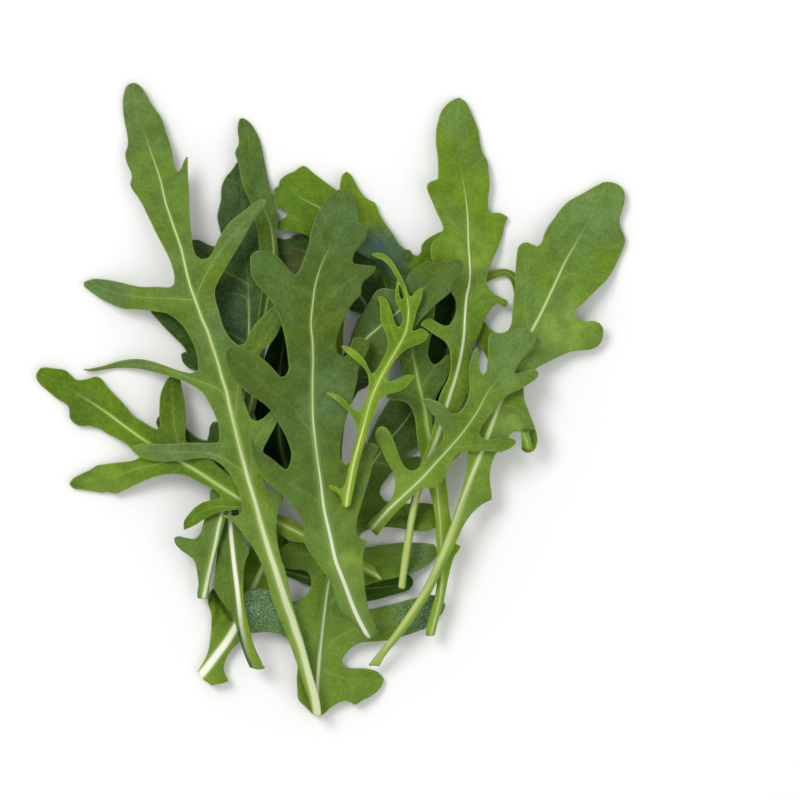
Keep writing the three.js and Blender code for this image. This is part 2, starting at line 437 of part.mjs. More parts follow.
// Turns diagonals until the triangles are as even as the fixed edges let them be.
function evenOut(points, triangles, fixed) {
  for (let pass = 0; pass < MOST_TURNS; pass++) {
    const touched = new Set();
    let flips = 0;
    for (const [key, sides] of edgeTable(triangles)) {
      if (sides.length !== 2 || fixed.has(key)) continue;
      const [one, two] = sides;
      if (touched.has(one.index) || touched.has(two.index)) continue;
      const [a, b, c, d] = [one.from, one.to, one.opposite, two.opposite];
      const [pa, pb, pc, pd] = [a, b, c, d].map((i) => points[i]);
      if (insideCircle(pa, pb, pc, pd) < 1e-9) continue;
      if (cross(pc, pa, pd) < 1e-7 || cross(pd, pb, pc) < 1e-7) continue;
      triangles[one.index] = [c, a, d];
      triangles[two.index] = [d, b, c];
      touched.add(one.index).add(two.index);
      flips++;
    }
    if (flips === 0) return;
  }
}

// A leaf's plan: its outline, with the midrib as an edge line, split into even triangles.
function leafPlan(leaf) {
  const rib = smoothLine(planPoints(leaf.rib), RIB_STEP);
  const tip = rib[0];
  const margins = [leaf.left, leaf.right].map((text) =>
    smoothLine([tip, ...planPoints(text)], OUTLINE_STEP).slice(1),
  );
  const points = [...rib, ...margins[0], ...margins[1]];
  const ribIds = rib.map((_, i) => i);
  const leftIds = margins[0].map((_, i) => rib.length + i);
  const rightIds = margins[1].map((_, i) => rib.length + margins[0].length + i);
  const fixed = new Set();
  const fix = (ids) => ids.slice(1).forEach((id, i) => fixed.add(edgeKey(ids[i], id)));
  const base = rib.length - 1;
  fix(ribIds);
  fix([0, ...leftIds, base]);
  fix([0, ...rightIds, base]);

  const triangles = [];
  for (const side of [leftIds, rightIds]) {
    const ring = [...side.toReversed(), ...ribIds];
    const outline = ring.map((id) => points[id]);
    for (const t of THREE.ShapeUtils.triangulateShape(outline, [])) {
      const ids = t.map((i) => ring[i]);
      const turned = cross(points[ids[0]], points[ids[1]], points[ids[2]]) < 0;
      triangles.push(turned ? [ids[0], ids[2], ids[1]] : ids);
    }
  }
  evenOut(points, triangles, fixed);

  const lines = [[0, ...leftIds, base], [0, ...rightIds, base], ribIds];
  const box = new THREE.Box2().setFromPoints(points);
  const rowHeight = (BLADE_MESH * Math.sqrt(3)) / 2;
  let row = 0;
  for (let y = box.min.y; y < box.max.y; y += rowHeight, row++) {
    for (let x = box.min.x + ((row % 2) * BLADE_MESH) / 2; x < box.max.x; x += BLADE_MESH) {
      addInside(points, triangles, fixed, lines, new THREE.Vector2(x, y));
    }
  }
  const rim = [0, ...leftIds, base, ...rightIds.toReversed()];
  return { points, triangles, rib, rim: signedArea(rim, points) > 0 ? rim : rim.toReversed() };
}

function signedArea(ids, points) {
  return THREE.ShapeUtils.area(ids.map((id) => points[id]));
}

// Splits the triangle that holds the point, unless a margin or the midrib is too near.
function addInside(points, triangles, fixed, lines, point) {
  const holder = triangles.findIndex((t) => {
    const [a, b, c] = t.map((i) => points[i]);
    return cross(a, b, point) > 0 && cross(b, c, point) > 0 && cross(c, a, point) > 0;
  });
  if (holder < 0) return;
  for (const ids of lines) {
    for (let i = 1; i < ids.length; i++) {
      const { distance } = segmentDistance(point, points[ids[i - 1]], points[ids[i]]);
      if (distance < MARGIN_CLEAR) return;
    }
  }
  const [a, b, c] = triangles[holder];
  const id = points.push(point) - 1;
  triangles[holder] = [a, b, id];
  triangles.push([b, c, id], [c, a, id]);
  evenOut(points, triangles, fixed);
}

// How far along the midrib a point lies (0 at the cut end, 1 at the tip), how far off it, which side
function ribPlace(point, rib) {
  const lengths = rib.slice(1).map((p, i) => p.distanceTo(rib[i]));
  const total = lengths.reduce((sum, length) => sum + length, 0);
  let walked = 0;
  let best = { off: Infinity };
  lengths.forEach((length, i) => {
    const { along, distance } = segmentDistance(point, rib[i], rib[i + 1]);
    if (distance < best.off) {
      const side = Math.sign(cross(rib[i], rib[i + 1], point)) || 1;
      best = { off: distance, side, along: 1 - (walked + along * length) / total };
    }
    walked += length;
  });
  return best;
}

// The leaf's own form, before it lies on anything: arched, cupped and rippled.
function ownHeight(leaf, place) {
  const spread = Math.min(CUP_LIMIT, place.off / LOBE_REACH);
  const ripple = Math.sin(2 * Math.PI * leaf.waves * place.along + place.side);
  return (
    leaf.arch * 4 * place.along * (1 - place.along) +
    leaf.lift * place.along ** 2 +
    leaf.cup * spread ** 2 +
    leaf.ripple * ripple * Math.min(1, spread / RIPPLE_FULL)
  );
}

function ownThickness(leaf, place) {
  const rib = THREE.MathUtils.lerp(leaf.stem, TIP_RIB, Math.min(1, place.along / RIB_TAPER));
  const fade = Math.max(0, 1 - place.off / (RIB_SPREAD * leaf.stem));
  return BLADE + (rib - BLADE) * fade;
}

function makeLeaf(leaf) {
  const plan = leafPlan(leaf);
  const places = plan.points.map((p) => ribPlace(p, plan.rib));
  return {
    ...plan,
    name: leaf.name,
    colour: leaf.colour,
    own: places.map((place) => ownHeight(leaf, place)),
    square: places.map((place) => ownThickness(leaf, place)),
    edges: [...edgeTable(plan.triangles).entries()].map(([key, sides]) => ({ key, sides })),
    box: new THREE.Box2().setFromPoints(plan.points),
    flat: flatPoints(leaf, plan.points),
  };
}

// The points that are held on the surface, so that the leaf has one flat spot to lie on
function flatPoints(leaf, points) {
  if (!leaf.flatAt) return [];
  const [spot] = planPoints(leaf.flatAt);
  return points.map((_, i) => i).filter((i) => points[i].distanceTo(spot) < FLAT_SPOT);
}

// The upright thickness that keeps the square one where the blade slopes
function updateThickness(leaf) {
  const steepest = leaf.points.map(() => 0);
  for (const t of leaf.triangles) {
    const [a, b, c] = t.map((i) => leaf.points[i]);
    const [za, zb, zc] = t.map((i) => leaf.top[i]);
    const area = cross(a, b, c);
    const gx = ((zb - za) * (c.y - a.y) - (zc - za) * (b.y - a.y)) / area;
    const gy = ((zc - za) * (b.x - a.x) - (zb - za) * (c.x - a.x)) / area;
    for (const i of t) steepest[i] = Math.max(steepest[i], gx * gx + gy * gy);
  }
  leaf.depth = leaf.square.map(
    (depth, i) => depth * Math.sqrt(1 + Math.min(STEEPEST_FACE ** 2, steepest[i])),
  );
}

// Where the point lies in one of the leaf's triangles, as shares of its corners
function holderOf(leaf, point) {
  for (const t of leaf.triangles) {
    const [a, b, c] = t.map((i) => leaf.points[i]);
    const area = cross(a, b, c);
    const shares = [cross(b, c, point) / area, cross(c, a, point) / area, cross(a, b, point) / area];
    if (shares.every((share) => share >= -1e-9)) return { ids: t, shares };
  }
  return null;
}

// Each place where the leaf's underside could meet a lower leaf: corners over faces, faces over
// corners, and edges over edges, which together are enough for two faceted sheets
function contactsWith(leaf, lower) {
  const contacts = [];
  const shared = leaf.box.clone().intersect(lower.box);
  if (shared.isEmpty()) return contacts;
  leaf.points.forEach((point, i) => {
    const holder = shared.containsPoint(point) && holderOf(lower, point);
    if (!holder) return;
    const height = holder.ids.reduce((sum, id, k) => sum + holder.shares[k] * lower.top[id], 0);
    contacts.push({ ids: [i], shares: [1], height, point });
  });
  lower.points.forEach((point, i) => {
    const holder = shared.containsPoint(point) && holderOf(leaf, point);
    if (holder) contacts.push({ ids: holder.ids, shares: holder.shares, height: lower.top[i], point });
  });
  const near = (l) => (edge) => {
    const { from, to } = edge.sides[0];
    return new THREE.Box2().setFromPoints([l.points[from], l.points[to]]).intersectsBox(shared);
  };
  const lowerEdges = lower.edges.filter(near(lower)).map((edge) => edge.sides[0]);
  for (const edge of leaf.edges.filter(near(leaf))) {
    const { from, to } = edge.sides[0];
    const [a, b] = [leaf.points[from], leaf.points[to]];
    for (const low of lowerEdges) {
      const [c, d] = [lower.points[low.from], lower.points[low.to]];
      const [ca, cb, cc, cd] = [cross(c, d, a), cross(c, d, b), cross(a, b, c), cross(a, b, d)];
      if (ca * cb >= 0 || cc * cd >= 0) continue;
      const share = ca / (ca - cb);
      const lowShare = cc / (cc - cd);
      contacts.push({
        ids: [from, to],
        shares: [1 - share, share],
        height: THREE.MathUtils.lerp(lower.top[low.from], lower.top[low.to], lowShare),
        point: a.clone().lerp(b, share),
      });
    }
  }
  return contacts;
}

// Four neighbouring points lie in one sheet that isn't folded when this mix of their sags is nought.
function foldsOf(leaf) {
  const folds = [];
  for (const { sides } of leaf.edges) {
    if (sides.length !== 2) continue;
    const ids = [sides[0].from, sides[0].to, sides[0].opposite, sides[1].opposite];
    const [a, b, c, d] = ids.map((i) => leaf.points[i]);
    const shares = [cross(b, c, d), -cross(a, c, d), cross(a, b, d), -cross(a, b, c)];
    const square = shares.reduce((sum, share) => sum + share * share, 0);
    folds.push({ ids, shares, square });
  }
  return folds;
}

// The lowest the stiff leaf can lie: it leans whichever way brings its middle down furthest.
function leanOn(leaf, contacts) {
  const middle = leaf.points.reduce((sum, p) => sum.add(p), new THREE.Vector2());
  middle.divideScalar(leaf.points.length);
  const needs = contacts.map(({ ids, shares, height, point }) => ({
    x: point.x - middle.x,
    y: point.y - middle.y,
    z: height - ids.reduce((sum, id, k) => sum + shares[k] * (leaf.own[id] - leaf.depth[id]), 0),
  }));
  const heightFor = (leanX, leanY) =>
    needs.reduce((most, n) => Math.max(most, n.z - leanX * n.x - leanY * n.y), -Infinity);
  const lowest = (cost) => {
    let [low, high] = [-STEEPEST_LEAN, STEEPEST_LEAN];
    for (let i = 0; i < LEAN_SEARCHES; i++) {
      const [one, two] = [low + (high - low) / 3, high - (high - low) / 3];
      if (cost(one) < cost(two)) high = two;
      else low = one;
    }
    return (low + high) / 2;
  };
  const bestY = (leanX) => lowest((leanY) => heightFor(leanX, leanY));
  const leanX = lowest((x) => heightFor(x, bestY(x)));
  const leanY = bestY(leanX);
  const height = heightFor(leanX, leanY);
  leaf.top = leaf.points.map(
    (p, i) => leaf.own[i] + height + leanX * (p.x - middle.x) + leanY * (p.y - middle.y),
  );
}

// Lifts the leaf off whatever it would press into, and says by how much at most.
function pushOut(leaf, contacts) {
  let most = 0;
  for (const { ids, shares, height } of contacts) {
    let under = height;
    let square = 0;
    for (let k = 0; k < ids.length; k++) {
      under -= shares[k] * (leaf.top[ids[k]] - leaf.depth[ids[k]]);
      square += shares[k] * shares[k];
    }
    if (under <= 0) continue;
    most = Math.max(most, under);
    for (let k = 0; k < ids.length; k++) leaf.top[ids[k]] += (shares[k] * under) / square;
  }
  for (const i of leaf.flat) leaf.top[i] = leaf.depth[i];
  return most;
}

function unfold(leaf, folds) {
  for (const { ids, shares, square } of folds) {
    let fold = 0;
    for (let k = 0; k < 4; k++) fold += shares[k] * (leaf.top[ids[k]] - leaf.own[ids[k]]);
    const step = (BEND_SHARE * fold) / square;
    for (let k = 0; k < 4; k++) leaf.top[ids[k]] -= step * shares[k];
  }
}

// Lays a leaf on the surface and on the leaves below it, and lets it sag there.
function settle(leaf, lowerLeaves) {
  leaf.depth = leaf.square.slice();
  const contacts = leaf.points.map((point, i) => ({ ids: [i], shares: [1], height: 0, point }));
  for (const lower of lowerLeaves) {
    for (const contact of contactsWith(leaf, lower)) {
      contacts.push({ ...contact, height: contact.height + LEAF_GAP });
    }
  }
  leanOn(leaf, contacts);
  const folds = foldsOf(leaf);
  for (let step = 0; step < SETTLE_STEPS; step++) {
    const pull = FIRST_PULL * (1 - step / SETTLE_STEPS);
    leaf.top = leaf.top.map((z) => z - pull);
    unfold(leaf, folds);
    folds.reverse();
    unfold(leaf, folds);
    pushOut(leaf, contacts);
    if (step % THICKNESS_EVERY === 0) updateThickness(leaf);
  }
  for (let pass = 0; pass < SMOOTHING_PASSES; pass++) {
    unfold(leaf, folds);
    pushOut(leaf, contacts);
  }
  updateThickness(leaf);
  for (let pass = 0; pass < CLOSING_PASSES; pass++) {
    if (pushOut(leaf, contacts) < 1e-4) break;
  }
}

// The closed solid of a settled leaf: the same triangles on both faces, and a wall round the rim
function leafSolid(leaf) {
  const positions = [];
  const corner = (i, under) => {
    const z = leaf.top[i] - (under ? leaf.depth[i] : 0);
    positions.push(leaf.points[i].x, leaf.points[i].y, z);
  };
  for (const [a, b, c] of leaf.triangles) {
    [a, b, c].forEach((i) => corner(i, false));
    [a, c, b].forEach((i) => corner(i, true));
  }
  leaf.rim.forEach((from, i) => {
    const to = leaf.rim[(i + 1) % leaf.rim.length];
    corner(from, false);
    corner(from, true);
    corner(to, true);
    corner(from, false);
    corner(to, true);
    corner(to, false);
  });
  const geometry = new THREE.BufferGeometry();
  geometry.setAttribute("position", new THREE.Float32BufferAttribute(positions, 3));
  geometry.computeVertexNormals();
  return geometry;
}

const settled = [];
for (const entry of LEAVES) {
  const leaf = makeLeaf(entry);
  settle(leaf, settled);
  settled.push(leaf);
}

const bunch = new THREE.Group();
for (const leaf of settled) {
  const material = new THREE.MeshStandardMaterial({
    color: leaf.colour,
    roughness: 0.55,
    metalness: 0,
  });
  const mesh = new THREE.Mesh(leafSolid(leaf), material);
  mesh.name = leaf.name;
  bunch.add(mesh);
}

// The origin goes under the middle of the bunch, on the surface.
const bounds = new THREE.Box3().setFromObject(bunch);
const middle = bounds.getCenter(new THREE.Vector3());
bunch.children.forEach((mesh) => mesh.position.set(-middle.x, -middle.y, -bounds.min.z));

export default bunch;
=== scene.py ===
"""Looks of a loose bunch of rocket leaves that lies in a heap on a pale table.

Every leaf of the frame gets a fine blade of its own: cut to the leaf's outline from a flat grid,
laid over the frame's solid, given its midrib, veins and waved margin, and thickened.
"""

import logging
import math
from dataclasses import dataclass
from enum import Enum
from functools import reduce

import bpy
import numpy as np
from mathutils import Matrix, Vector
from mathutils.kdtree import KDTree


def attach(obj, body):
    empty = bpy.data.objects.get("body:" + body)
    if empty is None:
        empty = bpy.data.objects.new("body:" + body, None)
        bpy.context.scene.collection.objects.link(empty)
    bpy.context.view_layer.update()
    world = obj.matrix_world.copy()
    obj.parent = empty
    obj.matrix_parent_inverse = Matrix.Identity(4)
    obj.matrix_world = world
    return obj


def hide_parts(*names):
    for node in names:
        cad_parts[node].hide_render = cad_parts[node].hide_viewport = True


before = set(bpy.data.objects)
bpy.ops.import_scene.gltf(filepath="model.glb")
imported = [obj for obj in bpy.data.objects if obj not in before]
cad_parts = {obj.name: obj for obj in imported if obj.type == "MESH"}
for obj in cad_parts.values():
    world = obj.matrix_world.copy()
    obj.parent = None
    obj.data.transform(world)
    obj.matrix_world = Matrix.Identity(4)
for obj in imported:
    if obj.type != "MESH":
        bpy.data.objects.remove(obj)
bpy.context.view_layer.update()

log = logging.getLogger("arugula_bunch")
Rows = np.ndarray
Socket = bpy.types.NodeSocket

MM = 0.001
PIXEL = 0.0002  # metres to a pixel of the plan picture
PICTURE_MIDDLE = (330.75, 399.5)  # the middle of the bunch's box in that picture
PICTURE_SIDE = 800  # pixels
CELL = 0.0003  # side of a blade's grid cells
BLADE = 0.00034  # thickness of a blade
RIB_LEAST = 0.55 * MM  # thickness of a midrib at the tip
OUTLINE_STEP = 0.00015  # spacing of the points that margins are drawn onto
CORNER = math.radians(48)  # a turn of the outline that stays sharp
PROBES = (-0.2, 0.2)  # where a cell is tested, from its middle, in cells
FACING_UP = 0.05  # the least rise of an upper face's direction
FIRST_SEED = 3  # the lowest leaf's

RIB_RISE, GROOVE_DEPTH = 0.10 * MM, 0.12 * MM  # of the midrib and the grooves beside it
VEIN_DEPTH, VEIN_WIDTH = 0.10 * MM, 0.45 * MM
TWIG_DEPTH, TWIG_WIDTH = 0.05 * MM, 0.35 * MM  # of the fine side veins
SWELL, SWELL_REACH = 0.08 * MM, 1.2 * MM  # of the blade between them
WAVE_LENGTH, WAVE_REACH = 8 * MM, 1.6 * MM  # of the margin's waves
FAR, VEIN_REACH = 10 * MM, 3 * MM  # the distance given where no vein is within this reach
SMOOTHINGS = 6  # of the cells beside the margin

VEINS_TO = 0.86  # side veins leave the midrib up to this share of its length from the tip
VEIN_FIRST, VEIN_GAP = (3, 6), (4.2, 6.8)  # mm from the tip, and between them
VEIN_LEAN, VEIN_BEND = (0.7, 0.95), 12  # to the tip, at their start and as they go on
VEIN_LONGEST, VEIN_SHORT_OF = 26 * MM, 0.5 * MM  # their length, and how near the margin they end
VEIN_LEAST, TIPWARD = 6, 6  # a vein's fewest points, and the midrib's that show the way to the tip


@dataclass(frozen=True)
class Colour:
    """A colour as it looks on a screen, from 0 to 255."""

    red: int
    green: int
    blue: int

    def linear(self) -> tuple[float, float, float, float]:
        """The colour as shaders take it."""
        parts = (value / 255 for value in (self.red, self.green, self.blue))
        return (*(v / 12.92 if v <= 0.04045 else ((v + 0.055) / 1.055) ** 2.4 for v in parts), 1.0)


@dataclass(frozen=True)
class LeafFinish:
    """The colours and surface of one kind of leaf.

    cool and warm are the blade's two greens, foot its green near the stem, vein its veins, rib the
    heart of the midrib, cord the midrib's sides, and under the blade's lower side. gloss is the
    specular level, and bloom how far a waxy coat with a painted bluish sheen clouds the green.
    """

    cool: Colour
    warm: Colour
    foot: Colour
    vein: Colour
    rib: Colour
    cord: Colour
    under: Colour
    roughness: float = 0.5
    gloss: float = 0.12
    bloom: float = 0.0


class Tone(Enum):
    """The finishes that the bunch's leaves come in."""

    MID = LeafFinish(
        Colour(87, 116, 46), Colour(95, 125, 20), Colour(120, 150, 46), Colour(142, 166, 76),
        Colour(208, 222, 156), Colour(134, 160, 72), Colour(116, 140, 84), bloom=0.12,
    )
    FRESH = LeafFinish(
        Colour(83, 117, 24), Colour(95, 127, 5), Colour(115, 148, 28), Colour(144, 170, 70),
        Colour(196, 212, 142), Colour(134, 162, 54), Colour(122, 146, 78),
    )
    BRIGHT = LeafFinish(
        Colour(88, 122, 18), Colour(96, 130, 4), Colour(119, 150, 26), Colour(156, 186, 72),
        Colour(210, 222, 138), Colour(140, 168, 52), Colour(134, 160, 74), gloss=0.16,
    )
    GREY = LeafFinish(
        Colour(73, 101, 44), Colour(75, 98, 12), Colour(117, 148, 54), Colour(122, 148, 76),
        Colour(202, 216, 158), Colour(120, 148, 72), Colour(104, 128, 78), bloom=0.22,
    )
    # the darker green of leaves low in the heap, partly their own older colour, partly painted
    # shade
    DEEP = LeafFinish(
        Colour(48, 78, 32), Colour(52, 78, 12), Colour(98, 126, 30), Colour(126, 152, 80),
        Colour(200, 210, 156), Colour(104, 132, 56), Colour(88, 112, 66),
        roughness=0.42, bloom=0.2,
    )
    # painted shade: a near-black green for the lowest leaves and those laid to fill deep holes
    SHADE = LeafFinish(
        Colour(20, 44, 8), Colour(24, 46, 3), Colour(48, 78, 16), Colour(60, 88, 32),
        Colour(140, 158, 96), Colour(66, 92, 34), Colour(60, 84, 40), gloss=0.05, bloom=0.08,
    )

    @property
    def slot(self) -> str:
        """The name of the material slot that goes with this finish."""
        return "leaf_" + self.name.lower()


WAX = Colour(92, 120, 76)  # where a waxy coat clouds a blade, with a painted bluish sheen
CREAM = Colour(240, 242, 220)  # the whitest midribs
STRAW = Colour(186, 202, 94)  # midribs that yellow to the cut end
GLINT = Colour(136, 168, 150)  # light on water


class Patch(Enum):
    """The kinds of soft spots on a leaf, in the order in which they are laid."""

    FRESH = Colour(108, 136, 26), False
    # a greyer green: partly the leaves' own colour, partly painted shade on the folded leaf
    DULL = Colour(74, 104, 52), False
    OLIVE = Colour(80, 104, 12), False
    # a waxy coat with a painted bluish sheen
    BLOOM = WAX, False
    # a paler green: partly the leaves' own paler tissue, partly painted light on ridges of curls
    PALE = Colour(150, 178, 74), False
    # painted shade: the darker green where a leaf lies under others, folds under or curls away
    DARK = Colour(32, 58, 12), False
    BROWN = Colour(86, 80, 28), False
    # a bluish grey: painted shade where a leaf folds under, and a painted sheen where it is wet
    BLUE = Colour(58, 82, 72), False
    # the darker green of a wet blade, on which blade() lays painted glints
    WET = Colour(58, 92, 46), False
    RIND = Colour(122, 146, 16), True
    # a painted blue-green glint and bluish shade at folds, laid over the midrib too
    STEEL = Colour(64, 86, 80), True
    # painted shade: the dark line in the creases of folds and curls, laid over the midrib too
    SEAM = Colour(30, 54, 8), True

    def __init__(self, tint: Colour, over_midrib: bool) -> None:
        """Keeps their colour, and whether they lie on the midrib and the margin too."""
        self.tint, self.over_midrib = tint, over_midrib


def items_of(text: str) -> list[list[str]]:
    """The words of each item of a text that has semicolons between its items."""
    return [item.split() for item in text.split(";") if item.strip()]


def plan_points(pairs: list[str]) -> Rows:
    """The points in the frame, one row each, of "x,y" pairs in picture pixels, y down."""
    pixels = np.array([[float(v) for v in pair.split(",")] for pair in pairs])
    return (pixels - PICTURE_MIDDLE) * (PIXEL, -PIXEL)


def ease(values: Rows, start: float, end: float) -> Rows:
    """Goes smoothly from 0 to 1 as the values go from start to end."""
    share = np.clip((values - start) / (end - start), 0, 1)
    return share * share * (3 - 2 * share)


def bell(values: Rows, width: float | Rows) -> Rows:
    """Goes smoothly from 1 to 0 as the values leave 0, most of it within a width."""
    return np.exp(-((values / width) ** 2))


def dense_line(points: Rows, step: float = CELL, closed: bool = False) -> Rows:
    """Draws a smooth line through points, with its sharp corners kept.

    Args:
        points: the points, one row each.
        step: the wanted spacing along the line.
        closed: whether the line comes back to its start.

    Returns:
        The line's points. A closed line doesn't repeat its first point.
    """
    count = len(points)
    to, on = points - np.roll(points, 1, axis=0), np.roll(points, -1, axis=0) - points
    lengths = np.linalg.norm(to, axis=1) * np.linalg.norm(on, axis=1)
    sharp = (to * on).sum(1) < math.cos(CORNER) * lengths
    if not closed:
        sharp[[0, -1]] = True
    pieces = []
    for i in range(count if closed else count - 1):
        j = (i + 1) % count
        start, end = points[i], points[j]
        before = 2 * start - end if sharp[i] else points[i - 1]
        after = 2 * end - start if sharp[j] else points[(j + 1) % count]
        pieces.append(curve_piece(before, start, end, after, step))
    return np.vstack(pieces if closed else [*pieces, points[-1:]])


def curve_piece(before: Rows, start: Rows, end: Rows, after: Rows, step: float) -> Rows:
    """One span of a centripetal Catmull-Rom curve.

    Args:
        before: the point ahead of the span.
        start: where the span starts.
        end: where the span ends.
        after: the point past the span.
        step: the wanted spacing.

    Returns:
        Points from start up to, but without, end.
    """
    knots = [0.0]
    for one, two in ((before, start), (start, end), (end, after)):
        knots.append(knots[-1] + max(1e-6, float(np.linalg.norm(two - one)) ** 0.5))
    count = max(1, math.ceil(float(np.linalg.norm(end - start)) / step))
    t = (knots[1] + (knots[2] - knots[1]) * np.arange(count) / count)[:, None]

    def blend(a: Rows, b: Rows, low: int, high: int) -> Rows:
        """Moves from a to b as t goes from one knot to another."""
        return ((knots[high] - t) * a + (t - knots[low]) * b) / (knots[high] - knots[low])

    one, two, three = blend(before, start, 0, 1), blend(start, end, 1, 2), blend(end, after, 2, 3)
    return blend(blend(one, two, 0, 2), blend(two, three, 1, 3), 1, 2)


def search_tree(points: Rows) -> KDTree:
    """Makes a search tree.

    Args:
        points: points in plan, one row each.

    Returns:
        The tree, with each point under its row's number.
    """
    tree = KDTree(len(points))
    for index, (x, y) in enumerate(points):
        tree.insert((x, y, 0), index)
    tree.balance()
    return tree


@dataclass
class Line:
    """A dense line in plan, with what the blades need to know about the way to it."""

    points: Rows
    closed: bool = False

    def __post_init__(self) -> None:
        """Sets up the search tree and the length walked at each point."""
        self.tree = search_tree(self.points)
        steps = np.linalg.norm(np.diff(self.points, axis=0), axis=1)
        self.walked = np.concatenate([[0], np.cumsum(steps)])

    def nearest(self, spots: Rows) -> tuple[Rows, Rows, Rows]:
        """Finds the nearest places on the line.

        Args:
            spots: points in plan, one row each.

        Returns:
            The nearest places, the length walked to each, and on which side each spot lies: 1 on
            the left and -1 on the right.
        """
        index = np.array([self.tree.find((x, y, 0))[1] for x, y in spots])
        best = np.full(len(spots), np.inf)
        places, walked, sides = np.zeros_like(spots), np.zeros(len(spots)), np.ones(len(spots))
        last = len(self.points) - 1
        for offset in (-1, 0):
            if self.closed:
                start = (index + offset) % (last + 1)
                end = (start + 1) % (last + 1)
            else:
                start = np.clip(index + offset, 0, last - 1)
                end = start + 1
            a, run = self.points[start], self.points[end] - self.points[start]
            square = np.maximum((run**2).sum(1), 1e-18)
            share = np.clip(((spots - a) * run).sum(1) / square, 0, 1)
            place = a + run * share[:, None]
            distance = np.linalg.norm(spots - place, axis=1)
            left = run[:, 0] * (spots - a)[:, 1] - run[:, 1] * (spots - a)[:, 0] >= 0
            nearer = distance < best - 1e-12
            best[nearer] = distance[nearer]
            places[nearer] = place[nearer]
            walked[nearer] = (self.walked[start] + share * np.sqrt(square))[nearer]
            sides[nearer] = np.where(left, 1, -1)[nearer]
        return places, walked, sides


def distance_to(spots: Rows, lines: list[Rows]) -> tuple[Rows, Rows, Rows]:
    """Measures from each spot to the nearest of some lines.

    Args:
        spots: points in plan, one row each.
        lines: the lines, dense.

    Returns:
        The distance, FAR at most, the share of the line's length where it is nearest, and the side
        of the line, 1 or -1.
    """
    nearest, share, sides = np.full(len(spots), FAR), np.zeros(len(spots)), np.ones(len(spots))
    for points in lines:
        low, high = points.min(0) - VEIN_REACH, points.max(0) + VEIN_REACH
        close = np.flatnonzero(((spots > low) & (spots < high)).all(1))
        if len(close):
            line = Line(points)
            places, walked, side = line.nearest(spots[close])
            away = np.linalg.norm(spots[close] - places, axis=1)
            best = away < nearest[close]
            nearer = close[best]
            nearest[nearer], sides[nearer] = away[best], side[best]
            share[nearer] = (walked / line.walked[-1])[best]
    return nearest, share, sides


@dataclass(frozen=True)
class Spot:
    """A soft spot, or a soft streak where it has more than one place, on a leaf.

    radius is in picture pixels, and depth says how far the spot covers the leaf.
    """

    kind: Patch
    places: Rows
    radius: float
    depth: float

    @classmethod
    def read(cls, words: list[str]) -> "Spot":
        """Reads a kind, one or more "x,y" pairs, a radius and a depth."""
        kind, *pairs, radius, depth = words
        return cls(Patch[kind.upper()], plan_points(pairs), float(radius), float(depth))

    def share(self, spots: Rows) -> Rows:
        """How far it covers each of some points.

        Args:
            spots: the points in plan, one row each.

        Returns:
            Its share at each, from 0 to its depth.
        """
        places = self.places
        if len(places) > 1:
            places = Line(dense_line(places)).nearest(spots)[0]
        away = np.linalg.norm(spots - places, axis=1)
        return self.depth * ease(1 - away / (self.radius * PIXEL), 0, 0.75)


class SheetHeight:
    """A smooth height over the plan that passes through given points, as a thin bent plate does."""

    UNIT = 10 * MM
    STIFFNESS = 1e-5

    def __init__(self, places: Rows, heights: Rows) -> None:
        """Solves for the plate.

        Args:
            places: points in plan, one row each.
            heights: the plate's height at each.
        """
        self.middle = places.mean(0)
        self.places = (places - self.middle) / self.UNIT
        count = len(places)
        system = np.zeros((count + 3, count + 3))
        system[:count, :count] = self.kernel(self.places) + np.eye(count) * self.STIFFNESS
        system[:count, count] = 1
        system[:count, count + 1 :] = self.places
        system[count:, :count] = system[:count, count:].T
        self.shares = np.linalg.solve(system, np.concatenate([heights, np.zeros(3)]))

    def kernel(self, spots: Rows) -> Rows:
        """The plate's answer at each spot to a push at each of its points."""
        square = ((spots[:, None] - self.places[None]) ** 2).sum(2)
        return 0.5 * square * np.log(square + 1e-12)

    def at(self, spots: Rows) -> Rows:
        """The plate's height at spots in plan."""
        scaled, shares = (spots - self.middle) / self.UNIT, self.shares
        return self.kernel(scaled) @ shares[:-3] + shares[-3] + scaled @ shares[-2:]


def rows_of(
    items: bpy.types.bpy_prop_collection, name: str, kind: type = float, width: int = 3
) -> Rows:
    """Reads numbers from each item of a mesh's list.

    Args:
        items: the list.
        name: what is read.
        kind: the numbers' type.
        width: how many there are to an item.

    Returns:
        The numbers, one row to an item.
    """
    values = np.empty(len(items) * width, dtype=kind)
    items.foreach_get(name, values)
    return values.reshape(-1, width)


@dataclass
class Solid:
    """A leaf's solid in the frame, read as an upper face over the plan."""

    node: str

    def __post_init__(self) -> None:
        """Reads the upper face's corners and its rim."""
        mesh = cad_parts[self.node].data
        mesh.calc_loop_triangles()
        places = rows_of(mesh.vertices, "co")
        corners = rows_of(mesh.loop_triangles, "vertices", int)
        a, b, c = (places[corners[:, k]] for k in range(3))
        normals = np.cross(b - a, c - a)
        upper = corners[normals[:, 2] > FACING_UP * np.linalg.norm(normals, axis=1)]
        keys = np.round(places[:, :2] * 1e6).astype(int)[upper.ravel()]
        _, first, number = np.unique(keys, axis=0, return_index=True, return_inverse=True)
        chosen = upper.ravel()[first]
        self.plan, self.heights = places[chosen, :2], places[chosen, 2]
        self.rim = self.plan[self.rim_order(number.reshape(-1, 3))]

    @staticmethod
    def rim_order(triangles: Rows) -> list[int]:
        """Walks round the rim.

        Args:
            triangles: the upper face's triangles, as corner numbers.

        Returns:
            The rim's corners in order, with the blade on their left.
        """
        edges = {(t[k], t[(k + 1) % 3]) for t in triangles.tolist() for k in range(3)}
        follows = {a: b for a, b in edges if (b, a) not in edges}
        ring = [min(follows)]
        while follows[ring[-1]] != ring[0]:
            ring.append(follows[ring[-1]])
        return ring


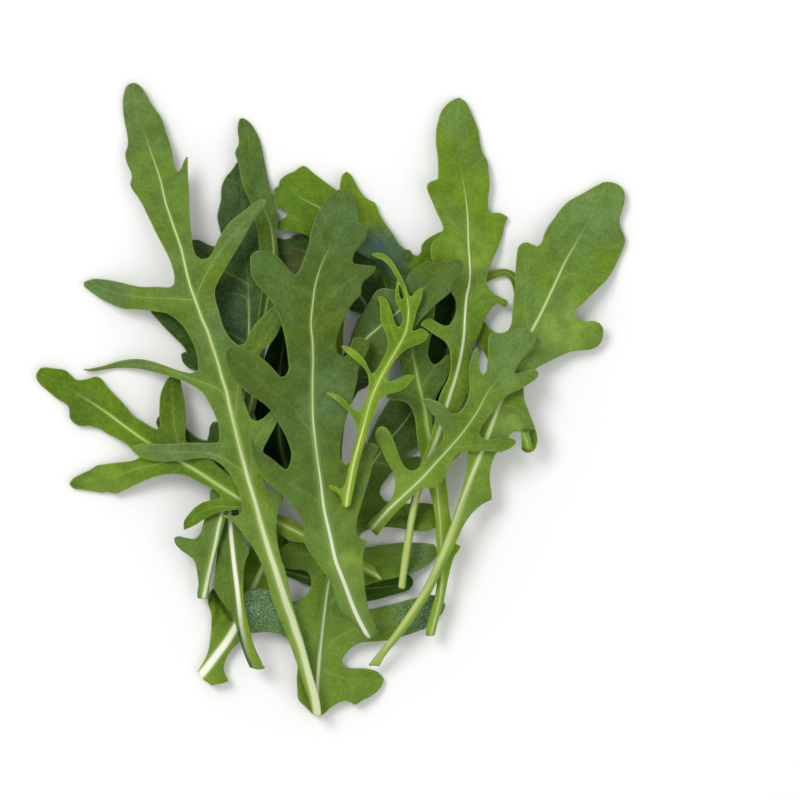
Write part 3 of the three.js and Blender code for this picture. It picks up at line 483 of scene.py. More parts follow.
class Sheet:
    """An open mesh of small cells, seen in plan."""

    def __init__(self, piece: bpy.types.Object) -> None:
        """Reads the mesh.

        Args:
            piece: its object.
        """
        self.mesh = piece.data
        self.spots = rows_of(self.mesh.vertices, "co")[:, :2].copy()
        self.edges = rows_of(self.mesh.edges, "vertices", int, 2)

    def border(self) -> tuple[Rows, Rows]:
        """Finds the border.

        Returns:
            The border's points, and for each its two neighbours along the border.
        """
        faces = np.bincount(rows_of(self.mesh.loops, "edge_index", int, 1)[:, 0])
        rim = self.edges[faces == 1]
        pairs = np.vstack([rim, rim[:, ::-1]])
        pairs = pairs[np.argsort(pairs[:, 0], kind="stable")]
        border, first = np.unique(pairs[:, 0], return_index=True)
        return border, np.column_stack([pairs[first, 1], pairs[first + 1, 1]])

    def near(self, border: Rows, rings: int = 3) -> Rows:
        """Finds the points beside the border.

        Args:
            border: the border's points.
            rings: how many edges away from it they may be.

        Returns:
            Their numbers, without the border's own.
        """
        reached = np.zeros(len(self.spots), dtype=bool)
        reached[border] = True
        for _ in range(rings):
            touched = reached[self.edges].any(1)
            reached[self.edges[touched].ravel()] = True
        reached[border] = False
        return np.flatnonzero(reached)

    def mean_neighbour(self) -> Rows:
        """The mean of each point's neighbours along the edges.

        Returns:
            One place in plan a point.
        """
        total, count = np.zeros_like(self.spots), np.zeros(len(self.spots))
        for ends in (self.edges, self.edges[:, ::-1]):
            np.add.at(total, ends[:, 0], self.spots[ends[:, 1]])
            np.add.at(count, ends[:, 0], 1)
        return total / np.maximum(count, 1)[:, None]

    def place(self, heights: Rows) -> None:
        """Puts the mesh's points at their spots and at the heights."""
        self.mesh.vertices.foreach_set("co", np.column_stack([self.spots, heights]).ravel())

    def store(self, **numbers: float | Rows) -> None:
        """Stores numbers at each point, for the skin to read.

        Args:
            **numbers: by name, one for all points or one a point.
        """
        for name, values in numbers.items():
            layer = self.mesh.attributes.new(name, "FLOAT", "POINT")
            layer.data.foreach_set("value", (np.zeros(len(self.spots)) + values).astype("f4"))


@dataclass
class Survey:
    """Where each point of a blade lies.

    off is its distance to the midrib, walked the way along the midrib from the tip, along its share
    of the way from the cut end to the tip, side the midrib's side that it lies on, edge its
    distance to the margin, and round_rim the way along the margin. veins and twigs give, for the
    lobes' veins and the fine side veins, what distance_to gives.
    """

    off: Rows
    walked: Rows
    along: Rows
    side: Rows
    edge: Rows
    round_rim: Rows
    veins: tuple[Rows, Rows, Rows]
    twigs: tuple[Rows, Rows, Rows]


@dataclass
class Leaf:
    """One leaf: a blade with its midrib and stem in one.

    rib runs from the tip to the cut end, and each vein from the midrib outwards, in picture
    pixels. stem is the midrib's thickness at the cut end and breadth its width there. heart is how
    wide its cream middle is at the cut end, and heart_midway halfway up. cream says how strong that
    middle is, foot_cream how strong at the cut end, cream_from where it has its full strength,
    white how white it is and white_to up to what share of the leaf, straw how yellow it turns to
    the cut end, and bare over what share of the leaf, from the tip, the midrib hardly shows. foot
    says how far the blade pales to the stem, pale how pale it is all over, warm how yellow its
    green is, light how light it is, which on a leaf deep in a gap paints its shade, veined how
    clear its veins are, and wave how high its margin waves. Each of spots is what Spot reads, some
    of them painted shade, light and sheen, and each of folds a line, its height and its half
    width. Sizes are in mm.
    """

    node: str
    tone: Tone
    rib: str
    veins: str = ""
    stem: float = 1.8
    breadth: float = 2.0
    heart: float = 0.8
    heart_midway: float = 0.4
    cream: float = 0.85
    foot_cream: float = 0.6
    cream_from: float = 0.35
    bare: float = 0.06
    white: float = 0.0
    white_to: float = 0.5
    straw: float = 0.0
    foot: float = 0.6
    pale: float = 0.0
    warm: float = 0.5
    light: float = 1.0
    veined: float = 0.4
    wave: float = 0.16
    spots: str = ""
    folds: str = ""

    def build(self, seed: int) -> None:
        """Makes the leaf, which rides on the bunch in place of its solid.

        Args:
            seed: the start of its chances.
        """
        self.seed = seed
        solid = Solid(self.node)
        self.outline = Line(dense_line(solid.rim, OUTLINE_STEP, closed=True), closed=True)
        self.midrib = Line(dense_line(plan_points(self.rib.split())))
        self.cut_blade()
        self.fit_margin()
        self.lay(SheetHeight(solid.plan, solid.heights))
        self.thicken()
        self.dress()

    def cut_blade(self) -> None:
        """Cuts the blade, still flat, roughly to its outline from a grid that runs along it."""
        run = self.midrib.points[0] - self.midrib.points[-1]
        angle = math.atan2(run[1], run[0])
        across = np.array([[math.cos(angle), math.sin(angle)], [-math.sin(angle), math.cos(angle)]])
        turned = self.outline.points @ across.T
        low, high = turned.min(0) - CELL, turned.max(0) + CELL
        cells = np.ceil((high - low) / CELL).astype(int)
        middle = (low + cells * CELL / 2) @ across
        bpy.ops.object.select_all(action="DESELECT")
        bpy.ops.mesh.primitive_grid_add(
            x_subdivisions=int(cells[0]), y_subdivisions=int(cells[1]), size=1,
            location=(*middle, 0), rotation=(0, 0, angle),
        )
        self.piece = bpy.context.object
        self.piece.scale = (*(cells * CELL), 1)
        self.piece.name = self.piece.data.name = self.node.replace("leaf_", "rocket_leaf_")
        bpy.ops.object.transform_apply(location=True, rotation=True, scale=True)
        centres = rows_of(self.piece.data.polygons, "center")[:, :2] @ across.T
        columns, rows = np.floor((centres - low) / CELL).astype(int).T
        self.delete_faces(~self.cells_inside(turned, low, cells)[columns, rows])

    @staticmethod
    def cells_inside(ring: Rows, low: Rows, cells: Rows) -> Rows:
        """Finds which cells of the grid belong to the blade.

        Args:
            ring: the outline, in the grid's own directions.
            low: the grid's low corner.
            cells: how many cells it has each way.

        Returns:
            A table of the cells, true where the blade is, with no two that meet at one corner only.
        """
        kept = np.zeros(tuple(cells), dtype=bool)
        ends = np.roll(ring, -1, axis=0)
        columns = low[0] + (np.arange(cells[0]) + 0.5) * CELL
        for row in range(cells[1]):
            for shift in PROBES:
                y = low[1] + (row + 0.5 + shift) * CELL
                crossing = (ring[:, 1] > y) != (ends[:, 1] > y)
                a, b = ring[crossing], ends[crossing]
                cuts = np.sort(a[:, 0] + (y - a[:, 1]) / (b[:, 1] - a[:, 1]) * (b[:, 0] - a[:, 0]))
                for step in PROBES:
                    kept[:, row] |= np.searchsorted(cuts, columns + step * CELL) % 2 == 1
        return largest_patch(without_corner_joins(kept))

    def delete_faces(self, unwanted: Rows) -> None:
        """Deletes faces and what they leave loose.

        Args:
            unwanted: for each face, whether it goes.
        """
        bpy.ops.object.mode_set(mode="EDIT")
        bpy.ops.mesh.select_mode(type="FACE")
        bpy.ops.mesh.select_all(action="DESELECT")
        bpy.ops.object.mode_set(mode="OBJECT")
        self.piece.data.polygons.foreach_set("select", unwanted)
        bpy.ops.object.mode_set(mode="EDIT")
        bpy.ops.mesh.delete(type="FACE")
        bpy.ops.object.mode_set(mode="OBJECT")

    def fit_margin(self) -> None:
        """Draws the blade's border onto the outline and evens out the cells beside it."""
        sheet = Sheet(self.piece)
        spots = sheet.spots
        border, beside = sheet.border()
        spots[border] = self.outline.nearest(spots[border])[0]
        near = sheet.near(border)
        for _ in range(SMOOTHINGS):
            spots[near] = 0.5 * spots[near] + 0.5 * sheet.mean_neighbour()[near]
            slid = 0.5 * spots[border] + 0.25 * (spots[beside[:, 0]] + spots[beside[:, 1]])
            spots[border] = self.outline.nearest(slid)[0]
        sheet.place(np.zeros(len(spots)))

    def lay(self, base: SheetHeight) -> None:
        """Lays the blade over its solid and stores what its skin needs to know.

        Args:
            base: the height of the solid's upper face.
        """
        sheet = Sheet(self.piece)
        survey = self.survey(sheet.spots)
        height = base.at(sheet.spots) + self.relief(survey)
        for *pairs, rise, width in items_of(self.folds):
            away = distance_to(sheet.spots, [dense_line(plan_points(pairs))])[0]
            height += float(rise) * MM * bell(away, float(width) * MM)
        sheet.place(height)
        self.describe(sheet, survey)

    def survey(self, spots: Rows) -> Survey:
        """Measures where the blade's points lie.

        Args:
            spots: the points in plan.

        Returns:
            The measures.
        """
        margin, round_rim, _ = self.outline.nearest(spots)
        edge = np.linalg.norm(spots - margin, axis=1)
        centre, walked, side = self.midrib.nearest(spots)
        veins = [dense_line(plan_points(pairs)) for pairs in items_of(self.veins)]
        return Survey(
            np.linalg.norm(spots - centre, axis=1), walked, 1 - walked / self.midrib.walked[-1],
            side, edge, round_rim, distance_to(spots, veins),
            distance_to(spots, self.side_veins(spots, edge)),
        )

    def relief(self, at: Survey) -> Rows:
        """Shapes the midrib, the veins and the margin, and sets the blade's thickness.

        Args:
            at: where its points lie.

        Returns:
            How far each point stands over the plain blade.
        """
        cord, off, edge = self.cord_half(at.along), at.off, at.edge
        (vein, vein_along, _), (twig, _, _) = at.veins, at.twigs
        extra = self.rib_thickness(at.along) - BLADE
        inwards = np.clip(edge / cord, 0, 1)
        rounding = (1 - inwards) ** 2 * bell(off, 2 * cord)
        self.thickness = (BLADE + extra * bell(off, cord)) * (1 - 0.55 * rounding)
        open_blade = np.clip(off / (2.2 * cord), 0, 1) * np.clip(edge / SWELL_REACH, 0, 1)
        height = RIB_RISE * bell(off, 0.75 * cord)
        height -= GROOVE_DEPTH * bell(off - 1.5 * cord, 0.6 * cord) * inwards
        height -= VEIN_DEPTH * bell(vein, VEIN_WIDTH) * open_blade * (1 - vein_along)
        height -= TWIG_DEPTH * bell(twig, TWIG_WIDTH) * open_blade
        height += SWELL * np.minimum(twig / SWELL_REACH, 1) * open_blade
        waves = 1 + np.sin(at.round_rim / WAVE_LENGTH * 2 * math.pi + self.seed)
        waves *= np.exp(-edge / WAVE_REACH) * np.clip(off / (3 * cord), 0, 1)
        return height + self.wave * MM * waves - 0.4 * extra * rounding

    def describe(self, sheet: Sheet, at: Survey) -> None:
        """Stores what the skin needs to know about the midrib, the veins and the spots.

        Args:
            sheet: the blade.
            at: where its points lie.
        """
        shown = 0.05 + 0.95 * ease(1 - at.along, self.bare, self.bare + 0.14)
        full = ease(at.along, 0.02, self.cream_from)
        green = ease(at.along, self.white_to - 0.2, self.white_to + 0.2)
        sheet.store(
            rib_mm=at.side * at.off / MM, run_mm=at.walked / MM,
            cord_mm=self.cord_half(at.along) / MM, heart_mm=self.heart_half(at.along) / MM,
            shown=shown, cream=(self.foot_cream + (self.cream - self.foot_cream) * full) * shown,
            white=self.white * (1 - green), straw=self.straw * (1 - ease(at.along, 0.1, 0.55)),
        )
        (vein, vein_along, vein_side), (twig, _, twig_side) = at.veins, at.twigs
        vein = vein / (1 - 0.55 * vein_along)
        foot = self.foot * (1 - ease(at.along, 0.05, 0.55))
        sheet.store(
            vein_mm=vein / MM, vein_side_mm=vein_side * vein / MM,
            twig_mm=twig / MM, twig_side_mm=twig_side * twig / MM, edge_mm=at.edge / MM,
            vein_show=self.veined * (1 - 0.7 * vein_along),
            foot=np.maximum(foot, self.pale), warm=self.warm, light=self.light,
        )
        laid = [Spot.read(words) for words in items_of(self.spots)]
        for kind in Patch:
            shares = [spot.share(sheet.spots) for spot in laid if spot.kind is kind]
            most = np.max([np.zeros(len(at.off)), *shares], axis=0)
            sheet.store(**{kind.name.lower(): most})

    def heart_half(self, along: Rows) -> Rows:
        """Half the width of the midrib's cream middle at shares of the way to the tip."""
        power = math.log(max(0.02, (self.heart_midway / self.heart - 0.12) / 0.88), 0.5)
        return 0.5 * self.heart * MM * (0.12 + 0.88 * (1 - along) ** power)

    def cord_half(self, along: Rows) -> Rows:
        """Half the midrib's width at shares of the way from the cut end to the tip."""
        sides = 0.5 * (self.breadth - self.heart) * MM * (1 - along) ** 1.5
        return self.heart_half(along) + sides + 0.1 * MM

    def rib_thickness(self, along: Rows) -> Rows:
        """The midrib's thickness at shares of the way from the cut end to the tip."""
        return RIB_LEAST + (self.stem * MM - RIB_LEAST) * np.clip(1 - 1.2 * along, 0, 1)

    def side_veins(self, spots: Rows, edge: Rows) -> list[Rows]:
        """Grows fine veins out of the midrib on both sides, bending towards the tip.

        Args:
            spots: the blade's points in plan.
            edge: how far each is from the margin.

        Returns:
            The fine veins as dense lines, each ending short of the margin.
        """
        tree = search_tree(spots)
        chance = np.random.default_rng(self.seed)
        reach = np.arange(0, VEIN_LONGEST, CELL)[:, None]
        lines = []
        for side in (-1, 1):
            walked = chance.uniform(*VEIN_FIRST) * MM
            while walked < VEINS_TO * self.midrib.walked[-1]:
                index = int(np.searchsorted(self.midrib.walked, walked))
                base = self.midrib.points[index]
                tipward = self.midrib.points[max(0, index - TIPWARD)] - base
                tipward /= max(1e-9, float(np.linalg.norm(tipward)))
                outward = side * np.array([-tipward[1], tipward[0]])
                lean = chance.uniform(*VEIN_LEAN)
                line = base + outward * reach + tipward * (lean * reach + VEIN_BEND * reach**2)
                inside = 0
                while inside < len(line):
                    _, found, distance = tree.find((*line[inside], 0))
                    if distance > CELL or edge[found] < VEIN_SHORT_OF:
                        break
                    inside += 1
                if inside >= VEIN_LEAST:
                    lines.append(line[:inside])
                walked += chance.uniform(*VEIN_GAP) * MM
        return lines

    def thicken(self) -> None:
        """Gives the blade its thickness, most of it at the midrib and stem."""
        most = float(self.thickness.max())
        group = self.piece.vertex_groups.new(name="thickness")
        for index, share in enumerate(self.thickness / most):
            group.add([index], float(share), "REPLACE")
        solidify = self.piece.modifiers.new("thickness", "SOLIDIFY")
        solidify.thickness, solidify.offset = most, -1
        solidify.vertex_group = group.name
        solidify.material_offset = 1
        bpy.ops.object.select_all(action="DESELECT")
        self.piece.select_set(True)
        bpy.context.view_layer.objects.active = self.piece
        bpy.ops.object.modifier_apply(modifier=solidify.name)
        self.piece.vertex_groups.clear()
        bpy.ops.object.shade_smooth()

    def dress(self) -> None:
        """Gives the leaf its finish and its place in the bunch."""
        for face in Face:
            self.piece.data.materials.append(LeafSkin(self.tone, face).material())
        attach(self.piece, "root")
        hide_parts(self.node)
        faces = len(self.piece.data.polygons)
        log.info("%s: %d faces, %s finish", self.piece.name, faces, self.tone.name.lower())


def without_corner_joins(kept: Rows) -> Rows:
    """Drops cells until no two meet at one corner only.

    Args:
        kept: a table of cells, true where one is kept.

    Returns:
        The table with those cells dropped.
    """
    kept = kept.copy()
    a, b, c, d = kept[:-1, :-1], kept[1:, 1:], kept[1:, :-1], kept[:-1, 1:]
    while True:
        rising, falling = a & b & ~c & ~d, c & d & ~a & ~b
        if not rising.any() and not falling.any():
            return kept
        a[rising] = False
        c[falling] = False


def largest_patch(kept: Rows) -> Rows:
    """Keeps the largest patch of cells that join side to side.

    Args:
        kept: a table of cells, true where one is kept.

    Returns:
        The table with only that patch.
    """
    label = np.where(kept, np.arange(kept.size).reshape(kept.shape), -1)
    while True:
        spread = label.copy()
        for axis, step in ((0, -1), (0, 1), (1, -1), (1, 1)):
            moved = np.roll(label, step, axis)
            spread = np.where(kept, np.maximum(spread, moved), -1)
        if (spread == label).all():
            break
        label = spread
    names, counts = np.unique(label[kept], return_counts=True)
    return label == names[counts.argmax()]


@dataclass
class NodeBoard:
    """A material's nodes, with short ways to add and join them."""

    name: str

    def __post_init__(self) -> None:
        """Makes the material and clears its node tree."""
        self.material = bpy.data.materials.new(self.name)
        self.material.use_nodes = True
        self.tree = self.material.node_tree
        self.tree.nodes.clear()

    def add(
        self, kind: str, inputs: dict[int | str, object], **settings: object
    ) -> bpy.types.Node:
        """Adds a node.

        Args:
            kind: the node's type without its ShaderNode prefix.
            inputs: what goes into its sockets, by their names or numbers: a socket, the name of a
                number that the mesh stores, or a plain value.
            **settings: values for its properties.

        Returns:
            The node.
        """
        node = self.tree.nodes.new("ShaderNode" + kind)
        for name, value in settings.items():
            setattr(node, name, value)
        for name, value in inputs.items():
            if isinstance(value, str):
                value = self.add("Attribute", {}, attribute_name=value).outputs["Fac"]
            if isinstance(value, Socket):
                self.tree.links.new(value, node.inputs[name])
            else:
                plain = value.linear() if isinstance(value, Colour) else value
                node.inputs[name].default_value = plain
        return node

    def finish(self, surface: dict[str, object]) -> bpy.types.Material:
        """Adds the shader.

        Args:
            surface: what goes into its sockets, by their names.

        Returns:
            The finished material.
        """
        shader = self.add("BsdfPrincipled", surface)
        self.add("OutputMaterial", {"Surface": shader.outputs["BSDF"]})
        return self.material

    def maths(self, operation: str, one: object, two: object = 0.0) -> Socket:
        """The result of a sum on one or two numbers."""
        return self.add("Math", {0: one, 1: two}, operation=operation).outputs[0]

    def times(self, *numbers: object) -> object:
        """The product of some numbers, or the one number that is given."""
        return reduce(lambda one, two: self.maths("MULTIPLY", one, two), numbers)

    def fade(
        self, value: object, start: object, end: float, low: float = 1.0, high: float = 0.0
    ) -> Socket:
        """Goes smoothly from low to high as the value goes from start to end."""
        inputs = {"Value": value, "From Min": start, "From Max": end, "To Min": low, "To Max": high}
        return self.add("MapRange", inputs, interpolation_type="SMOOTHSTEP").outputs["Result"]

    def mix(self, one: object, two: object, *shares: object) -> Socket:
        """Lays a colour over another.

        Args:
            one: the lower colour.
            two: the upper colour.
            *shares: their product says how far the upper one covers.

        Returns:
            The colour that shows.
        """
        inputs = {"Factor": self.times(*shares), "A": one, "B": two}
        node = self.add("Mix", inputs, data_type="RGBA")
        return next(socket for socket in node.outputs if socket.type == "RGBA")

    def noise(self, place: object, scale: float, detail: float = 2.0) -> Socket:
        """A soft mottle from 0 to 1."""
        inputs = {"Vector": place, "Scale": scale, "Detail": detail}
        return self.add("TexNoise", inputs).outputs["Fac"]

    def net(self, place: object, scale: float) -> Socket:
        """The distance to the borders of a net of small cells."""
        inputs = {"Vector": place, "Scale": scale}
        return self.add("TexVoronoi", inputs, feature="DISTANCE_TO_EDGE").outputs["Distance"]


class Face(Enum):
    """The two sides of a blade."""

    UPPER = "upper"
    UNDER = "under"


class Scale:
    """How fine the skin's patterns are, in cells to a metre."""

    CLOUD, WAX, UNEVEN, NET, HOLLOWS, GRAIN, DROPS = 110, 210, 300, 640, 1500, 1700, 3300


@dataclass
class LeafSkin:
    """The skin of one side of a leaf, in one finish."""

    tone: Tone
    face: Face

    def material(self) -> bpy.types.Material:
        """The skin's material, made once and then shared.

        Returns:
            The material.
        """
        name = f"rocket_{self.tone.name.lower()}_{self.face.value}"
        if name in bpy.data.materials:
            return bpy.data.materials[name]
        self.board = board = NodeBoard(name)
        self.finish = self.tone.value
        self.place = board.add("TexCoord", {}).outputs["Object"]
        self.off = board.maths("ABSOLUTE", "rib_mm")
        self.cord = board.maths("DIVIDE", self.off, "cord_mm")
        self.grain = board.noise(self.place, Scale.GRAIN, 4)
        self.uneven = board.noise(self.place, Scale.UNEVEN)
        rough = self.finish.roughness
        return board.finish({
            "Base Color": self.rib_over(self.veins_over(self.blade())),
            "Roughness": board.fade(self.grain, 0.3, 0.7, rough - 0.06, rough + 0.12),
            "Specular IOR Level": self.finish.gloss,
            "Normal": self.relief(),
        })

    def blade(self) -> Socket:
        """The blade's green: mottled, paler to the stem, with a fine grain, a waxy coat with a
        painted bluish sheen, spots, some of them painted shade and light, and painted glints where
        it is wet.

        Returns:
            The colour.
        """
        board, finish = self.board, self.finish
        cloud = board.maths("ADD", board.noise(self.place, Scale.CLOUD), "warm")
        green = board.mix(finish.cool, finish.warm, board.fade(cloud, 0.82, 1.2, 0.0, 1.0))
        green = board.mix(green, finish.foot, "foot")
        if self.face is Face.UNDER:
            green = board.mix(green, finish.under, 0.7)
        # soft clouds of a waxy coat with a painted bluish sheen
        wax_sheen = board.noise(self.place, Scale.WAX, 3)
        green = board.mix(green, WAX, board.fade(wax_sheen, 0.5, 0.72, 0.0, finish.bloom))
        green = self.patches_over(green, over_midrib=False)
        green = board.mix(green, finish.vein, board.fade(self.grain, 0.36, 0.72, 0.0, 0.13))
        # painted glints of light on the water of the wet spots
        drop_glints = board.fade(board.noise(self.place, Scale.DROPS), 0.45, 0.66, 0.0, 0.9)
        green = board.mix(green, GLINT, drop_glints, self.patch(Patch.WET))
        # tone that differs at random, times the leaf's own lightness, which on a leaf deep in a gap
        # paints its shade
        light = board.times(
            board.fade(self.uneven, 0.3, 0.7, 0.88, 1.12), "light",
            board.fade(self.grain, 0.3, 0.7, 0.95, 1.05),
        )
        scaled = board.add("VectorMath", {0: green, "Scale": light}, operation="SCALE")
        return scaled.outputs["Vector"]

    def patch(self, kind: Patch) -> Socket:
        """How far spots of one kind cover the blade, a little ragged at their edges."""
        ragged = self.board.fade(self.uneven, 0.3, 0.62, 0.6, 1.0)
        return self.board.times(kind.name.lower(), ragged)

    def patches_over(self, colour: Socket, over_midrib: bool) -> Socket:
        """Adds the spots.

        Args:
            colour: the colour under them.
            over_midrib: whether to add those that lie over the midrib or the others.

        Returns:
            The colour with the spots on it.
        """
        for kind in Patch:
            if kind.over_midrib is over_midrib:
                colour = self.board.mix(colour, kind.tint, self.patch(kind))
        return colour

    def line(self, name: str) -> Socket:
        """The distance to the nearest vein of a kind, in mm, sharp at the vein itself."""
        far = self.board.maths("SUBTRACT", name + "_mm", 0.25)
        return self.board.maths("MAXIMUM", self.board.maths("ABSOLUTE", name + "_side_mm"), far)

    def veins_over(self, green: Socket) -> Socket:
        """Adds the fine net, the side veins, the lobes' veins and the pale rim, a painted highlight
        along the margin over its slightly paler tissue.

        Args:
            green: the blade's colour.

        Returns:
            The colour with the veins on it.
        """
        board, twig, main = self.board, self.line("twig"), self.line("vein")
        net, shown = board.net(self.place, Scale.NET), "vein_show"
        for far, start, end, most, *shares in (
            (net, 0.0, 0.07, 0.22, self.uneven),
            (twig, 0.1, 0.9, 0.06, self.uneven), (twig, 0.02, 0.16, 0.15, self.uneven),
            (main, 0.2, 1.2, 0.2, shown), (main, 0.04, 0.2, 1.0, shown),
            # the pale rim: a painted highlight where the margin turns, over its slightly paler
            # tissue
            ("edge_mm", 0.05, 0.24, 0.42),
        ):
            line = board.fade(far, start, end, most, 0.0)
            green = board.mix(green, self.finish.vein, line, *shares)
        return green

    def rib_over(self, green: Socket) -> Socket:
        """Adds the midrib: a pale green cord with a cream heart, fainter to the tip.

        Args:
            green: the colour of the blade with its veins.

        Returns:
            The colour with the midrib on it.
        """
        board, finish = self.board, self.finish
        side = board.times(board.fade(self.cord, 0.7, 1.25, 0.75, 0.0), "shown")
        cord = board.mix(green, finish.cord, side)
        cord = board.mix(cord, finish.cord, board.fade(self.cord, 1.2, 2.8, 0.16, 0.0), "shown")
        share = board.maths("DIVIDE", self.off, "heart_mm")
        heart = board.fade(share, board.fade("white", 0.2, 0.8, 0.2, 0.55), 1.4, 1.0, 0.0)
        tint = board.mix(board.mix(finish.rib, CREAM, "white"), STRAW, "straw")
        cord = board.mix(cord, tint, heart, "cream")
        dull = board.maths("SUBTRACT", 1.0, "white")
        cord = board.mix(cord, finish.cool, self.streaks(), side, dull)
        # the stem's rind, and the painted glint and crease shade that lie over the midrib too
        return self.patches_over(cord, over_midrib=True)

    def streaks(self) -> Socket:
        """The fine dark lines that run along the midrib's broad end and the stem.

        Returns:
            How dark they are.
        """
        board = self.board
        spread = {"X": ("rib_mm", 4.2), "Y": ("run_mm", 0.06), "Z": ("cord_mm", 3.0)}
        lane = board.add("CombineXYZ", {axis: board.times(*two) for axis, two in spread.items()})
        lines = board.fade(board.noise(lane.outputs["Vector"], 1.0), 0.48, 0.66, 0.0, 0.65)
        return board.times(lines, board.fade("cord_mm", 0.25, 0.9, 0.15, 1.0))

    def relief(self) -> Socket:
        """The small bumps between the finest veins, smooth on the midrib and coarse where wet.

        Returns:
            The surface's direction.
        """
        board = self.board
        hollow = board.fade(board.net(self.place, Scale.HOLLOWS), 0.0, 0.12, 0.0, 1.0)
        bumps = board.times(
            board.maths("ADD", board.times(self.grain, 0.6), hollow),
            board.fade(self.cord, 0.8, 1.6, 0.25, 1.0),
            board.fade("wet", 0.0, 0.6, 1.0, 2.2),
        )
        bump = {"Strength": 0.5, "Distance": 0.06 * MM, "Height": bumps}
        return board.add("Bump", bump).outputs["Normal"]


